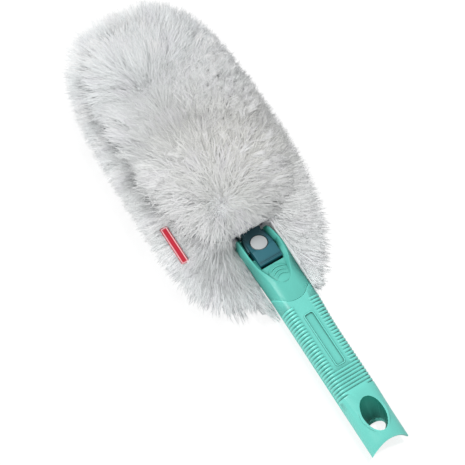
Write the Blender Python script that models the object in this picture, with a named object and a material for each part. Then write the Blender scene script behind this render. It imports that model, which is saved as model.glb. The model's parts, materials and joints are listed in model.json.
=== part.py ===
"""A hand duster: a plastic grip that clips on to a covered paddle.

Metres, +Z up. The head lies towards -X and the grip's hanging end towards +X.
The part's frame has its origin under the middle of the duster, on the surface
that it lies on. The pieces are built in the grip frame, whose X is zero at the
front tips of the grip and whose Z is zero at the grip's side line.
"""

import math

import bmesh
import bpy
from mathutils import Matrix, Vector

# Overall places
HEAD_REACH = 0.2250
GRIP_LENGTH = 0.2033
SIDE_LINE_HEIGHT = 0.0090
CLEARANCE = 0.0003
OVERRUN = 0.0040

SMOOTH_ANGLE = math.radians(32.0)
RIB_CREASE_ANGLE = math.radians(20.0)

# Grip, outside
GRIP_HALF_WIDTH = 0.0160
GRIP_TOP = 0.0132
GRIP_BELLY = 0.0050
GRIP_WALL = 0.0021
# Rows: place along the grip, half width, ridge half width, ridge height, crown height
GRIP_SHARES = (
    (0.000, 0.930, 0.950, 0.400, 0.400),
    (0.012, 0.960, 0.955, 0.610, 0.600),
    (0.035, 0.975, 0.960, 0.800, 0.780),
    (0.070, 0.990, 0.960, 0.900, 0.880),
    (0.120, 1.010, 0.930, 0.970, 0.950),
    (0.157, 1.030, 0.830, 1.010, 1.010),
    (0.190, 1.035, 0.640, 1.040, 1.050),
    (0.225, 1.030, 0.530, 1.050, 1.060),
    (0.265, 1.015, 0.530, 1.040, 1.055),
    (0.330, 0.995, 0.600, 1.000, 1.030),
    (0.400, 0.985, 0.660, 0.985, 1.010),
    (0.600, 0.980, 0.670, 0.975, 1.000),
    (0.740, 0.985, 0.670, 0.975, 1.000),
    (0.800, 1.000, 0.560, 0.960, 1.010),
    (0.860, 1.010, 0.430, 0.940, 1.010),
    (0.930, 1.015, 0.360, 0.910, 0.980),
    (1.000, 1.020, 0.340, 0.850, 0.890),
)
# Side band from the side line up to the ridge: inward share and height share
BAND_SHARES = ((0.00, 0.00), (0.06, 0.26), (0.17, 0.50), (0.34, 0.72), (0.60, 0.90), (1.00, 1.00))
TOP_SHARES = (0.80, 0.70, 0.38, 0.00)
BELLY_SHARES = ((1.00, 0.00), (0.97, 0.42), (0.88, 0.76), (0.68, 0.95), (0.36, 1.00), (0.00, 1.00))

# Ribs across the grip
RIB_PITCH = 0.00295
RIB_HEIGHT = 0.00080
RIB_START = 0.0705
RIBS_TO_HOLE = 0.02025
PLATE_TO_RIBS = 0.0030
RIB_TOE_SHARE = 0.20
RIB_HEEL_SHARE = 0.56
# Share of the rib's height at each point of the half section, from the side line inwards
RIB_RISE_SHARES = (0.0, 0.4, 0.8, 1.0, 1.0, 1.0, 1.0)
RIB_END_BOW = 0.0050

# Bare plate on the grip
PLATE_START = 0.0815
PLATE_TO_HOLE = 0.0473
PLATE_WIDTH = 0.0076
PLATE_CORNER = 0.0016
PLATE_DEPTH = 0.0008
PLATE_RIM = 0.0008
PLATE_RIM_RISE = 0.0005

# Seam between the socket and the grip shells
SEAM_APEX = 0.0668
SEAM_BOW = 0.0121
SEAM_POWER = 2.6
SEAM_POINTS = 21

# Hanging hole and tail
HOLE_FROM_TAIL = 0.0270
HOLE_LENGTH = 0.0292
HOLE_WIDTH = 0.0192
HOLE_EXIT_FROM_TAIL = 0.0178
HOLE_EXIT_LENGTH = 0.0108
HOLE_EXIT_WIDTH = 0.0164
HOLE_EGG_SHARE = 0.10
HOLE_POINTS = 28
SLEEVE_WALL = 0.0017
TAIL_NOTCH_DEPTH = 0.0044
BELLY_NOTCH_DEPTH = 0.0098
NOTCH_POINTS = 96
TAIL_STEPS = 6
BELLY_STEPS = 10

# Places that follow the grip's length
HOLE_CENTRE = GRIP_LENGTH - HOLE_FROM_TAIL
HOLE_EXIT_CENTRE = GRIP_LENGTH - HOLE_EXIT_FROM_TAIL
PLATE_LENGTH = HOLE_CENTRE - PLATE_TO_HOLE - PLATE_START
RIB_COUNT = round((HOLE_CENTRE - RIBS_TO_HOLE - RIB_START) / RIB_PITCH)
RIBS_END = RIB_START + RIB_COUNT * RIB_PITCH
RIB_FULL_START = PLATE_START + PLATE_LENGTH + PLATE_TO_RIBS

# Socket at the front of the grip
SOCKET_STEPS = 26
SOCKET_STEP_POWER = 1.35
NOSE_BELLY_SHARE = 0.45
CHANNEL_HALF_WIDTH = 0.0106
CHANNEL_FLOOR = -0.0023
CHANNEL_END = 0.0310
RAIL_GROOVE_DEPTH = 0.0016
RAIL_GROOVE_BOTTOM = 0.0007
RAIL_GROOVE_TOP = 0.0066
# Scoop between the cheeks: place along the grip, floor half width, floor height, top half width
SCOOP_SHARES = (
    (-0.020, 0.840, 0.295, 0.885),
    (0.000, 0.840, 0.295, 0.885),
    (0.035, 0.840, 0.295, 0.925),
    (0.070, 0.840, 0.300, 0.930),
    (0.088, 0.790, 0.400, 0.925),
    (0.120, 0.680, 0.600, 0.915),
    (0.150, 0.660, 0.660, 0.860),
    (0.170, 0.600, 0.710, 0.760),
    (0.190, 0.500, 0.790, 0.640),
    (0.215, 0.400, 0.900, 0.500),
    (0.235, 0.260, 0.990, 0.340),
    (0.248, 0.080, 1.050, 0.120),
)
SCOOP_STEPS = 24
PAD_CENTRE = 0.0412
PAD_LENGTH = 0.0176
PAD_WIDTH = 0.0180
PAD_RISE = 0.0015
PAD_POWER = 2.3
PAD_POINTS = 28
PAD_RINGS = 4
PAD_RIDGE_COUNT = 3
PAD_RIDGE_FIRST = 0.0350
PAD_RIDGE_PITCH = 0.0035
PAD_RIDGE_WIDTH = 0.0014
PAD_RIDGE_RISE = 0.0007
PAD_RIDGE_TAPER_SHARE = 0.12
PAD_RIDGE_BOW = 0.0034
PAD_RIDGE_HALF_SPAN = 0.0078
PAD_RIDGE_POINTS = 10
SPIGOT_END = 0.0840
SPIGOT_HALF_WIDTH = 0.0092
SPIGOT_TOP = 0.0092
SPIGOT_BOTTOM = -0.0020

# Screws that close the grip
FRONT_SCREW_PLACE = 0.0760
REAR_SCREW_FROM_TAIL = 0.0533
GRIP_SCREW_PLACES = {
    "grip_screw_front": FRONT_SCREW_PLACE,
    "grip_screw_rear": GRIP_LENGTH - REAR_SCREW_FROM_TAIL,
}
SCREW_HEAD_RADIUS = 0.0027
SCREW_HEAD_HEIGHT = 0.0014
SCREW_SHANK_RADIUS = 0.0013
SCREW_LENGTH = 0.0100
BOSS_RADIUS = 0.0032
ROUND_POINTS = 16
CORNER_STEPS = 4

# Adapter block that the grip clips on to
BLOCK_FRONT = 0.0022
BLOCK_REAR = 0.0290
BLOCK_STEP = 0.0160
BLOCK_TOP = 0.0116
BLOCK_SLOPE = math.radians(17.0)
BLOCK_EDGE = 0.0006
WING_END = 0.0135
WING_HALF_WIDTH = 0.0131
WING_BOTTOM = 0.0043
WING_FRONT_TOP = 0.0056
WING_REAR_TOP = 0.0086
BLOCK_RIDGE_WIDTH = 0.0006
BLOCK_RIDGE_RISE = 0.0004
BLOCK_RIDGE_INSET = 0.0022
BLOCK_RIDGE_COUNT = 2
NECK_REACH = 0.0250
NECK_TOP = 0.0068
NECK_HALF_WIDTH = 0.0085
NECK_SHOULDER = 0.0030
NECK_TAPER_SHARE = 0.6
CLAMP_HALF_WIDTH = 0.0108
BASE_BOTTOM = -0.0026
CLAMP_SCREW_SIDE = 0.0060
CLAMP_SCREW_PLACES = {"clamp_screw_left": -CLAMP_SCREW_SIDE, "clamp_screw_right": CLAMP_SCREW_SIDE}
CLAMP_SCREW_X = -0.0155
CLAMP_SCREW_LENGTH = 0.0078

# Release button, its latch bar and spring
BUTTON_X = 0.0104
BUTTON_RADIUS = 0.0069
BUTTON_PROUD = 0.0003
BUTTON_HEIGHT = 0.0038
BUTTON_ROUNDING = 0.0007
BUTTON_ROUNDING_SHARE = 0.29
BUTTON_GAP = 0.0008
BUTTON_TRAVEL = 0.0020
LATCH_LENGTH = 0.0234
LATCH_WIDTH = 0.0040
LATCH_HEIGHT = 0.0016
SPRING_WIRE_RADIUS = 0.00025
SPRING_WIRE_POINTS = 6
SPRING_RADIUS = 0.0025
SPRING_TURN_COUNT = 2.5
SPRING_POINTS_PER_TURN = 12
SPRING_PRESSED_HEIGHT = 0.0024

# Paddle inside the cover
PADDLE_TIP_INSET = 0.0280
PADDLE_SIDE_INSET = 0.0355
PADDLE_BOTTOM = 0.0012
PADDLE_THICKNESS = 0.0026
PADDLE_REAR = 0.0300
PADDLE_RIM = 0.0075
PADDLE_SPINE = 0.0130
PADDLE_BAR = 0.0070
WINDOW_COUNT = 4
WINDOW_STEPS = 6
WINDOW_LEAST_DEPTH = 0.0018
PADDLE_ROOT_END = 0.0020
PADDLE_ROOT_HALF_WIDTH = 0.0110
PADDLE_POWER = 2.6

# Cover: backing cloth, pile and trim
BACKING_THICKNESS = 0.0008
BACKING_SIDE_INSET = 0.0285
BACKING_TIP_INSET = 0.0220
HEAD_HALF_WIDTH = 0.0735
HEAD_REAR = 0.0690
HEAD_POWER = 3.1
LOWER_PILE_INSET = 0.0030
LOWER_PILE_ROUNDING = 0.0040
EDGE_PILE_WIDTH = 0.0165
EDGE_PILE_HEIGHT = 0.0200
EDGE_PILE_SIDE_POINTS = 12
EDGE_PILE_SIDE_STEPS = 14
EDGE_PILE_LOBE_STEPS = 9
EDGE_PILE_MOUTH_HALF_WIDTH = 0.0195
EDGE_PILE_LOBE_START = 0.0400
EDGE_PILE_POWER = 0.7
EDGE_PILE_END_SHARE = 0.7
EDGE_PILE_REAR_INSET = 0.0070
PATH_POINTS = 400
PILE_GAP = 0.0008
UPPER_PILE_HEIGHT = 0.0330
UPPER_PILE_REAR = 0.0030
UPPER_PILE_POWER = 2.7
PILE_POINTS = 40
# Rings of the mound from its base to its crown: share of its plan size and share of its height
UPPER_PILE_SHARES = (
    (0.800, 0.000),
    (0.900, 0.100),
    (1.000, 0.320),
    (0.965, 0.560),
    (0.860, 0.780),
    (0.660, 0.930),
    (0.340, 0.995),
)
BED_HALF_WIDTH = 0.0190
BED_FRONT = 0.0300
BED_CORNER = 0.0060
BAND_FRONT = 0.0125
BAND_REAR = 0.0035
BAND_HALF_WIDTH = 0.0150
BAND_THICKNESS = 0.0015
BAND_TOP = 0.0104
BAND_BOTTOM = -0.0044
BAND_CORNER = 0.0050
LABEL_CENTRE_X = -0.0184
LABEL_LENGTH = 0.0341
LABEL_WIDTH = 0.0062
LABEL_THICKNESS = 0.0007
LABEL_SIDE_INSET = 0.0103

# Finishes: colour, roughness and metallic value
FINISHES = {
    "mint_plastic": ((0.150, 0.560, 0.490), 0.38, 0.0),
    "petrol_plastic": ((0.028, 0.145, 0.180), 0.42, 0.0),
    "grey_button": ((0.500, 0.520, 0.520), 0.45, 0.0),
    "white_plastic": ((0.720, 0.730, 0.720), 0.40, 0.0),
    "steel": ((0.520, 0.530, 0.540), 0.30, 1.0),
    "white_pile": ((0.780, 0.800, 0.800), 0.90, 0.0),
    "backing_cloth": ((0.700, 0.690, 0.740), 0.95, 0.0),
    "red_label": ((0.520, 0.050, 0.070), 0.80, 0.0),
}


def clear_scene():
    """Removes what the startup scene holds."""
    for found in list(bpy.data.objects):
        bpy.data.objects.remove(found)


def finish(name):
    """The material of that name, made once."""
    found = bpy.data.materials.get(name)
    if found:
        return found
    colour, roughness, metallic = FINISHES[name]
    made = bpy.data.materials.new(name)
    made.use_nodes = True
    shader = made.node_tree.nodes["Principled BSDF"]
    shader.inputs["Base Color"].default_value = (*colour, 1.0)
    shader.inputs["Roughness"].default_value = roughness
    shader.inputs["Metallic"].default_value = metallic
    made.diffuse_color = (*colour, 1.0)
    return made


def frame_empty(name, place, parent=None):
    """An empty that carries the pieces of one body."""
    made = bpy.data.objects.new(name, None)
    bpy.context.scene.collection.objects.link(made)
    made.location = place
    made.parent = parent
    return made


def new_object(name, mesh, parent, material=None):
    """An object of that mesh, in the scene, under its frame."""
    made = bpy.data.objects.new(name, mesh)
    bpy.context.scene.collection.objects.link(made)
    made.parent = parent
    if material:
        mesh.materials.append(finish(material))
    return made


def mesh_of(name, verts, faces, crease=SMOOTH_ANGLE):
    """A mesh with its faces turned outwards and its round parts smooth."""
    made = bpy.data.meshes.new(name)
    made.from_pydata(verts, [], faces)
    work = bmesh.new()
    work.from_mesh(made)
    bmesh.ops.recalc_face_normals(work, faces=work.faces)
    if work.calc_volume(signed=True) < 0:
        bmesh.ops.reverse_faces(work, faces=work.faces)
    work.to_mesh(made)
    work.free()
    made.shade_smooth()
    made.set_sharp_from_angle(angle=crease)
    return made


def loft(name, rings, crease=SMOOTH_ANGLE):
    """A closed mesh through rings of equal count, capped at both ends."""
    count = len(rings[0])
    verts = [tuple(point) for ring in rings for point in ring]
    faces = []
    for i in range(len(rings) - 1):
        for j in range(count):
            k = (j + 1) % count
            faces.append((i * count + j, i * count + k, (i + 1) * count + k, (i + 1) * count + j))
    faces.append(tuple(range(count)))
    last = (len(rings) - 1) * count
    faces.append(tuple(last + j for j in range(count)))
    return mesh_of(name, verts, faces, crease)


def prism(name, outline, low, high):
    """An outline in X and Y, raised from one height to another."""
    rings = [[(x, y, height) for x, y in outline] for height in (low, high)]
    return loft(name, rings)


def side_prism(name, outline, half_width):
    """An outline in X and Z, as wide as the piece."""
    rings = [[(x, side, z) for x, z in outline] for side in (-half_width, half_width)]
    return loft(name, rings)


def cutter(name, mesh, parent):
    """A hidden body that a Boolean uses."""
    made = new_object(name, mesh, parent)
    made.hide_render = True
    made.display_type = "WIRE"
    return made


def combine(target, other, operation):
    """Adds a Boolean to the target."""
    step = target.modifiers.new(f"{operation.lower()}_{other.name}", "BOOLEAN")
    step.operation = operation
    step.solver = "EXACT"
    step.object = other


def cut(target, other):
    combine(target, other, "DIFFERENCE")


def add(target, other):
    combine(target, other, "UNION")


def circle(x, y, radius, points):
    """Points of a circle in the plane."""
    turns = [2.0 * math.pi * (i + 0.5) / points for i in range(points)]
    return [(x + radius * math.cos(turn), y + radius * math.sin(turn)) for turn in turns]


def rounded_rectangle(x_low, x_high, y_low, y_high, corner, steps=CORNER_STEPS):
    """Points of a rectangle whose corners are quarter circles."""
    corners = (
        (x_high - corner, y_high - corner, 0.0),
        (x_low + corner, y_high - corner, 0.5),
        (x_low + corner, y_low + corner, 1.0),
        (x_high - corner, y_low + corner, 1.5),
    )
    points = []
    for x, y, start in corners:
        for i in range(steps + 1):
            turn = math.pi * (start + 0.5 * i / steps)
            points.append((x + corner * math.cos(turn), y + corner * math.sin(turn)))
    return points


def signed_power(value, power):
    return math.copysign(abs(value) ** power, value)


def oval(tip, rear, half_width, power, points):
    """A superellipse from -tip to rear."""
    middle = (rear - tip) / 2
    reach = (rear + tip) / 2
    outline = []
    for i in range(points):
        turn = 2.0 * math.pi * (i + 0.5) / points
        x = middle + reach * signed_power(math.cos(turn), 2.0 / power)
        y = half_width * signed_power(math.sin(turn), 2.0 / power)
        outline.append((x, y))
    return outline


def table_at(rows, place):
    """Values of a table at a place, on a smooth curve through its rows."""
    last = len(rows) - 1
    i = max(j for j in range(last) if rows[j][0] <= place or j == 0)
    before, low, high, after = rows[max(i - 1, 0)], rows[i], rows[i + 1], rows[min(i + 2, last)]
    step = high[0] - low[0]
    t = min(max((place - low[0]) / step, 0.0), 1.0)
    values = []
    for k in range(1, len(low)):
        slope_in = (high[k] - before[k]) / (high[0] - before[0]) * step
        slope_out = (after[k] - low[k]) / (after[0] - low[0]) * step
        start = low[k] * (1.0 + 2.0 * t) * (1.0 - t) ** 2 + slope_in * t * (1.0 - t) ** 2
        end = high[k] * (3.0 - 2.0 * t) * t**2 - slope_out * (1.0 - t) * t**2
        values.append(start + end)
    return values


def grip_row(x):
    """Half width, ridge half width, ridge height and crown height at a place on the grip."""
    half_share, ridge_share, height_share, crown_share = table_at(GRIP_SHARES, x / GRIP_LENGTH)
    half_width = half_share * GRIP_HALF_WIDTH
    return half_width, ridge_share * half_width, height_share * GRIP_TOP, crown_share * GRIP_TOP


def mirrored(half):
    """A run of points from one side over the middle to the other side."""
    return [(-y, z) for y, z in half] + [(y, z) for y, z in reversed(half[:-1])]


def grip_top_half(x, inset=0.0):
    """Points of the top from the side line to the middle, as (y, z)."""
    half_width, ridge, height, crown = grip_row(x)
    half_width -= inset
    ridge -= inset
    height -= inset
    crown -= inset
    points = [(half_width + (ridge - half_width) * inward, height * up) for inward, up in BAND_SHARES]
    for share in TOP_SHARES:
        points.append((ridge * share, height + (crown - height) * (1.0 - share**2)))
    return points


def grip_belly_half(x, inset=0.0):
    """Points of the underside from the side line to the middle, as (y, z)."""
    half_width = grip_row(x)[0] - inset
    return [(half_width * out, -(GRIP_BELLY - inset) * down) for out, down in BELLY_SHARES]


def rib_end(y):
    """Where the ribs stop before the hanging hole, on an arc round it."""
    return RIBS_END - RIB_END_BOW * (1.0 - min(abs(y) / GRIP_HALF_WIDTH, 1.0) ** 2)


def rib_rise(x, index):
    """How far point number index of the half section stands proud on a rib."""
    if index < len(RIB_RISE_SHARES):
        return RIB_HEIGHT * RIB_RISE_SHARES[index]
    return RIB_HEIGHT if x >= RIB_FULL_START else 0.0


def collar_rise(x, index):
    """How far the smooth collar round the hole stands proud, level with the ribs and lower to the tail."""
    left = min((GRIP_LENGTH - x) / (GRIP_LENGTH - RIBS_END), 1.0)
    return rib_rise(x, index) * left


def grip_top_ring(x, raised):
    """Outer points of the top at a place, raised on a rib."""
    half = grip_top_half(x)
    grown = []
    for index, (y, z) in enumerate(half):
        rise = collar_rise(x, index)
        if x < rib_end(y):
            rise = rib_rise(x, index) if raised else 0.0
        reach = math.hypot(y, z)
        grown.append((y * (1.0 + rise / reach), z * (1.0 + rise / reach)))
    return mirrored(grown)


def grip_stations():
    """Places along the grip shell, with whether the section is raised on a rib."""
    stations = [(SEAM_APEX - SEAM_BOW - OVERRUN, False)]
    for i in range(RIB_COUNT):
        start = RIB_START + i * RIB_PITCH
        stations.append((start, False))
        stations.append((start + RIB_PITCH * RIB_TOE_SHARE, True))
        stations.append((start + RIB_PITCH * RIB_HEEL_SHARE, True))
    for i in range(TAIL_STEPS + 1):
        stations.append((RIBS_END + (GRIP_LENGTH - RIBS_END) * i / TAIL_STEPS, False))
    return stations


def seam_outline(gap, end):
    """Plan outline behind the seam, from the curved edge to a straight end."""
    points = []
    for i in range(SEAM_POINTS + 1):
        share = 2.0 * i / SEAM_POINTS - 1.0
        x = SEAM_APEX + gap - SEAM_BOW * abs(share) ** SEAM_POWER
        points.append((x, share * (GRIP_HALF_WIDTH + CLEARANCE)))
    side = GRIP_HALF_WIDTH + OVERRUN
    first_x = points[0][0]
    return [(first_x, -side)] + points + [(first_x, side), (end, side), (end, -side)]


def notch_radius(depth):
    return (GRIP_HALF_WIDTH**2 + depth**2) / (2.0 * depth)


def notch_cutter(name, depth, parent):
    """A round bite out of the grip's tail."""
    radius = notch_radius(depth)
    outline = circle(GRIP_LENGTH - depth + radius, 0.0, radius, NOTCH_POINTS)
    return cutter(name, prism(name, outline, -GRIP_TOP - OVERRUN, GRIP_TOP + OVERRUN), parent)


def egg(centre, length, width, points=HOLE_POINTS):
    """The hanging hole's outline, wider towards the front."""
    outline = []
    for i in range(points):
        turn = 2.0 * math.pi * (i + 0.5) / points
        narrow = 1.0 - HOLE_EGG_SHARE * math.cos(turn)
        outline.append((centre + length / 2 * math.cos(turn), width / 2 * narrow * math.sin(turn)))
    return outline


def hole_body(name, grow, low, high):
    """The hanging hole's slanting body, grown by a wall and run between two heights."""
    rings = []
    for height in (low, high):
        share = (height + GRIP_BELLY) / (GRIP_TOP + GRIP_BELLY)
        centre = HOLE_EXIT_CENTRE + (HOLE_CENTRE - HOLE_EXIT_CENTRE) * share
        length = HOLE_EXIT_LENGTH + (HOLE_LENGTH - HOLE_EXIT_LENGTH) * share
        width = HOLE_EXIT_WIDTH + (HOLE_WIDTH - HOLE_EXIT_WIDTH) * share
        outline = egg(centre, length + 2 * grow, width + 2 * grow)
        rings.append([(x, y, height) for x, y in outline])
    return loft(name, rings)


def plate_body(name, grow, low, high):
    """The bare plate's rounded outline between two heights, grown by a rim."""
    half = PLATE_WIDTH / 2 + grow
    outline = rounded_rectangle(
        PLATE_START - grow, PLATE_START + PLATE_LENGTH + grow, -half, half, PLATE_CORNER + grow
    )
    return prism(name, outline, low, high)


def upright(name, x, y, radius, low, high):
    """A round post or bore."""
    return prism(name, circle(x, y, radius, ROUND_POINTS), low, high)


def build_grip_upper_shell(parent):
    """The ribbed top shell with its bosses, sleeve and bare plate."""
    rings = []
    for x, raised in grip_stations():
        outer = grip_top_ring(x, raised)
        half = grip_top_half(x, GRIP_WALL)
        inner = mirrored(half[:-1:2] + half[-1:])
        inner[0] = (inner[0][0], CLEARANCE / 2)
        inner[-1] = (inner[-1][0], CLEARANCE / 2)
        outer[0] = (outer[0][0], CLEARANCE / 2)
        outer[-1] = (outer[-1][0], CLEARANCE / 2)
        rings.append([(x, y, z) for y, z in outer + inner[::-1]])
    skin = loft("grip_upper_shell", rings, RIB_CREASE_ANGLE)
    shell = new_object("grip_upper_shell", skin, parent, "mint_plastic")
    front = seam_outline(CLEARANCE, 0.0)
    low, high = -OVERRUN, GRIP_TOP + OVERRUN
    cut(shell, cutter("seam_cut_upper", prism("seam_cut_upper", front, low, high), parent))
    roof = GRIP_TOP - GRIP_WALL / 2
    rear = GRIP_SCREW_PLACES["grip_screw_rear"]
    boss = upright("rear_boss", rear, 0.0, BOSS_RADIUS, CLEARANCE / 2, roof)
    add(shell, cutter("rear_boss", boss, parent))
    floor = -GRIP_BELLY + GRIP_WALL + 2 * CLEARANCE
    add(shell, cutter("sleeve", hole_body("sleeve", SLEEVE_WALL, floor, roof), parent))
    cut(shell, notch_cutter("tail_notch", TAIL_NOTCH_DEPTH, parent))
    pilot = SCREW_SHANK_RADIUS + CLEARANCE
    tip = -GRIP_BELLY + SCREW_LENGTH + CLEARANCE
    hole = upright("rear_pilot", rear, 0.0, pilot, -OVERRUN, tip)
    cut(shell, cutter("rear_pilot", hole, parent))
    crown = grip_row(PLATE_START + PLATE_LENGTH / 2)[3]
    rim = plate_body("plate_rim", PLATE_RIM, crown - GRIP_WALL / 2, crown + PLATE_RIM_RISE)
    add(shell, cutter("plate_rim", rim, parent))
    recess = plate_body("plate_recess", 0.0, crown - PLATE_DEPTH, GRIP_TOP + OVERRUN)
    cut(shell, cutter("plate_recess", recess, parent))
    bore = hole_body("sleeve_bore", 0.0, -GRIP_BELLY - OVERRUN, GRIP_TOP + OVERRUN)
    cut(shell, cutter("sleeve_bore", bore, parent))
    return shell


def build_grip_lower_shell(parent):
    """The smooth belly shell, with its screw seats and the hole's exit."""
    rings = []
    start = SEAM_APEX - SEAM_BOW - OVERRUN
    for i in range(BELLY_STEPS + 1):
        x = start + (GRIP_LENGTH - start) * i / BELLY_STEPS
        outer = mirrored(grip_belly_half(x))
        inner = mirrored(grip_belly_half(x, GRIP_WALL))
        for run in (outer, inner):
            run[0] = (run[0][0], -CLEARANCE / 2)
            run[-1] = (run[-1][0], -CLEARANCE / 2)
        rings.append([(x, y, z) for y, z in outer + inner[::-1]])
    shell = new_object("grip_lower_shell", loft("grip_lower_shell", rings), parent, "mint_plastic")
    low, high = -GRIP_BELLY - OVERRUN, OVERRUN
    front = seam_outline(CLEARANCE, 0.0)
    cut(shell, cutter("seam_cut_lower", prism("seam_cut_lower", front, low, high), parent))
    exit_body = hole_body("exit_hole", CLEARANCE, low, high)
    cut(shell, cutter("exit_hole", exit_body, parent))
    cut(shell, notch_cutter("belly_notch", BELLY_NOTCH_DEPTH, parent))
    for name, x in GRIP_SCREW_PLACES.items():
        radius = SCREW_SHANK_RADIUS + CLEARANCE
        cut(shell, cutter(f"{name}_hole", upright(f"{name}_hole", x, 0.0, radius, low, high), parent))
        seat = -GRIP_BELLY + SCREW_HEAD_HEIGHT + CLEARANCE
        radius = SCREW_HEAD_RADIUS + CLEARANCE
        cut(shell, cutter(f"{name}_seat", upright(f"{name}_seat", x, 0.0, radius, low, seat), parent))
    return shell


def screw_mesh(name, length, head_height, points=ROUND_POINTS):
    """A pan head screw, head down, with the underside of its head at zero."""
    profile = (
        (SCREW_HEAD_RADIUS, -head_height),
        (SCREW_HEAD_RADIUS, 0.0),
        (SCREW_SHANK_RADIUS, 0.0),
        (SCREW_SHANK_RADIUS, length - SCREW_SHANK_RADIUS),
        (SCREW_SHANK_RADIUS / 2, length),
    )
    rings = [[(x, y, z) for x, y in circle(0.0, 0.0, radius, points)] for radius, z in profile]
    return loft(name, rings)


def build_grip_screws(parent):
    """The two screws that close the grip from below."""
    for name, x in GRIP_SCREW_PLACES.items():
        length = SCREW_LENGTH - SCREW_HEAD_HEIGHT
        screw = new_object(name, screw_mesh(name, length, SCREW_HEAD_HEIGHT), parent, "steel")
        screw.location = (x, 0.0, -GRIP_BELLY + SCREW_HEAD_HEIGHT)


def scoop_row(x):
    """Half width of the scoop's floor, its height, and half the width across its top."""
    floor_share, height_share, top_share = table_at(SCOOP_SHARES, x / GRIP_LENGTH)
    return floor_share * GRIP_HALF_WIDTH, height_share * GRIP_TOP, top_share * GRIP_HALF_WIDTH


def scoop_mesh():
    """The hollow between the cheeks, shallower towards its rounded rear end."""
    start, end = SCOOP_SHARES[0][0] * GRIP_LENGTH, SCOOP_SHARES[-1][0] * GRIP_LENGTH
    rings = []
    for i in range(SCOOP_STEPS + 1):
        x = start + (end - start) * i / SCOOP_STEPS
        half, floor, top_half = scoop_row(x)
        height = max(grip_row(x)[2], floor + CLEARANCE)
        right = [(half, floor), (top_half, height), (top_half, height + OVERRUN)]
        line = [(-y, z) for y, z in right[::-1]] + right
        rings.append([(x, y, z) for y, z in line])
    return loft("scoop", rings)


def pad_top(x, y):
    """Height of the thumb pad's domed top at a place."""
    across = abs(2.0 * (x - PAD_CENTRE) / PAD_LENGTH) ** PAD_POWER + abs(2.0 * y / PAD_WIDTH) ** PAD_POWER
    reach = min(across ** (1.0 / PAD_POWER), 1.0)
    return scoop_row(x)[1] + PAD_RISE * math.sqrt(1.0 - reach**2)


def pad_mesh():
    """The thumb pad: a low dome in the scoop."""
    rings = []
    for i in range(PAD_RINGS + 2):
        shrink = math.cos(0.5 * math.pi * max(i - 1, 0) / (PAD_RINGS + 1))
        half = PAD_LENGTH / 2 * shrink
        outline = oval(half, half, PAD_WIDTH / 2 * shrink, PAD_POWER, PAD_POINTS)
        sunk = GRIP_WALL / 2 if i == 0 else 0.0
        rings.append([(PAD_CENTRE + x, y, pad_top(PAD_CENTRE + x, y) - sunk) for x, y in outline])
    return loft("thumb_pad", rings)


def pad_ridge_mesh(name, number):
    """One curved ridge across the thumb pad."""
    apex = PAD_RIDGE_FIRST + number * PAD_RIDGE_PITCH
    span = PAD_RIDGE_HALF_SPAN * (1.0 - PAD_RIDGE_TAPER_SHARE * number)
    rings = []
    for i in range(PAD_RIDGE_POINTS):
        share = 2.0 * i / (PAD_RIDGE_POINTS - 1) - 1.0
        x = apex + PAD_RIDGE_BOW * share**2
        y = span * share
        half = PAD_RIDGE_WIDTH / 2 * (1.0 - share**2 / 2)
        foot = pad_top(x, y)
        rise = PAD_RIDGE_RISE * (1.0 - share**4)
        rings.append([
            (x - half, y, foot - GRIP_WALL / 2), (x + half, y, foot - GRIP_WALL / 2),
            (x + half, y, foot), (x + half / 2, y, foot + rise),
            (x - half / 2, y, foot + rise), (x - half, y, foot),
        ])
    return loft(name, rings)


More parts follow.
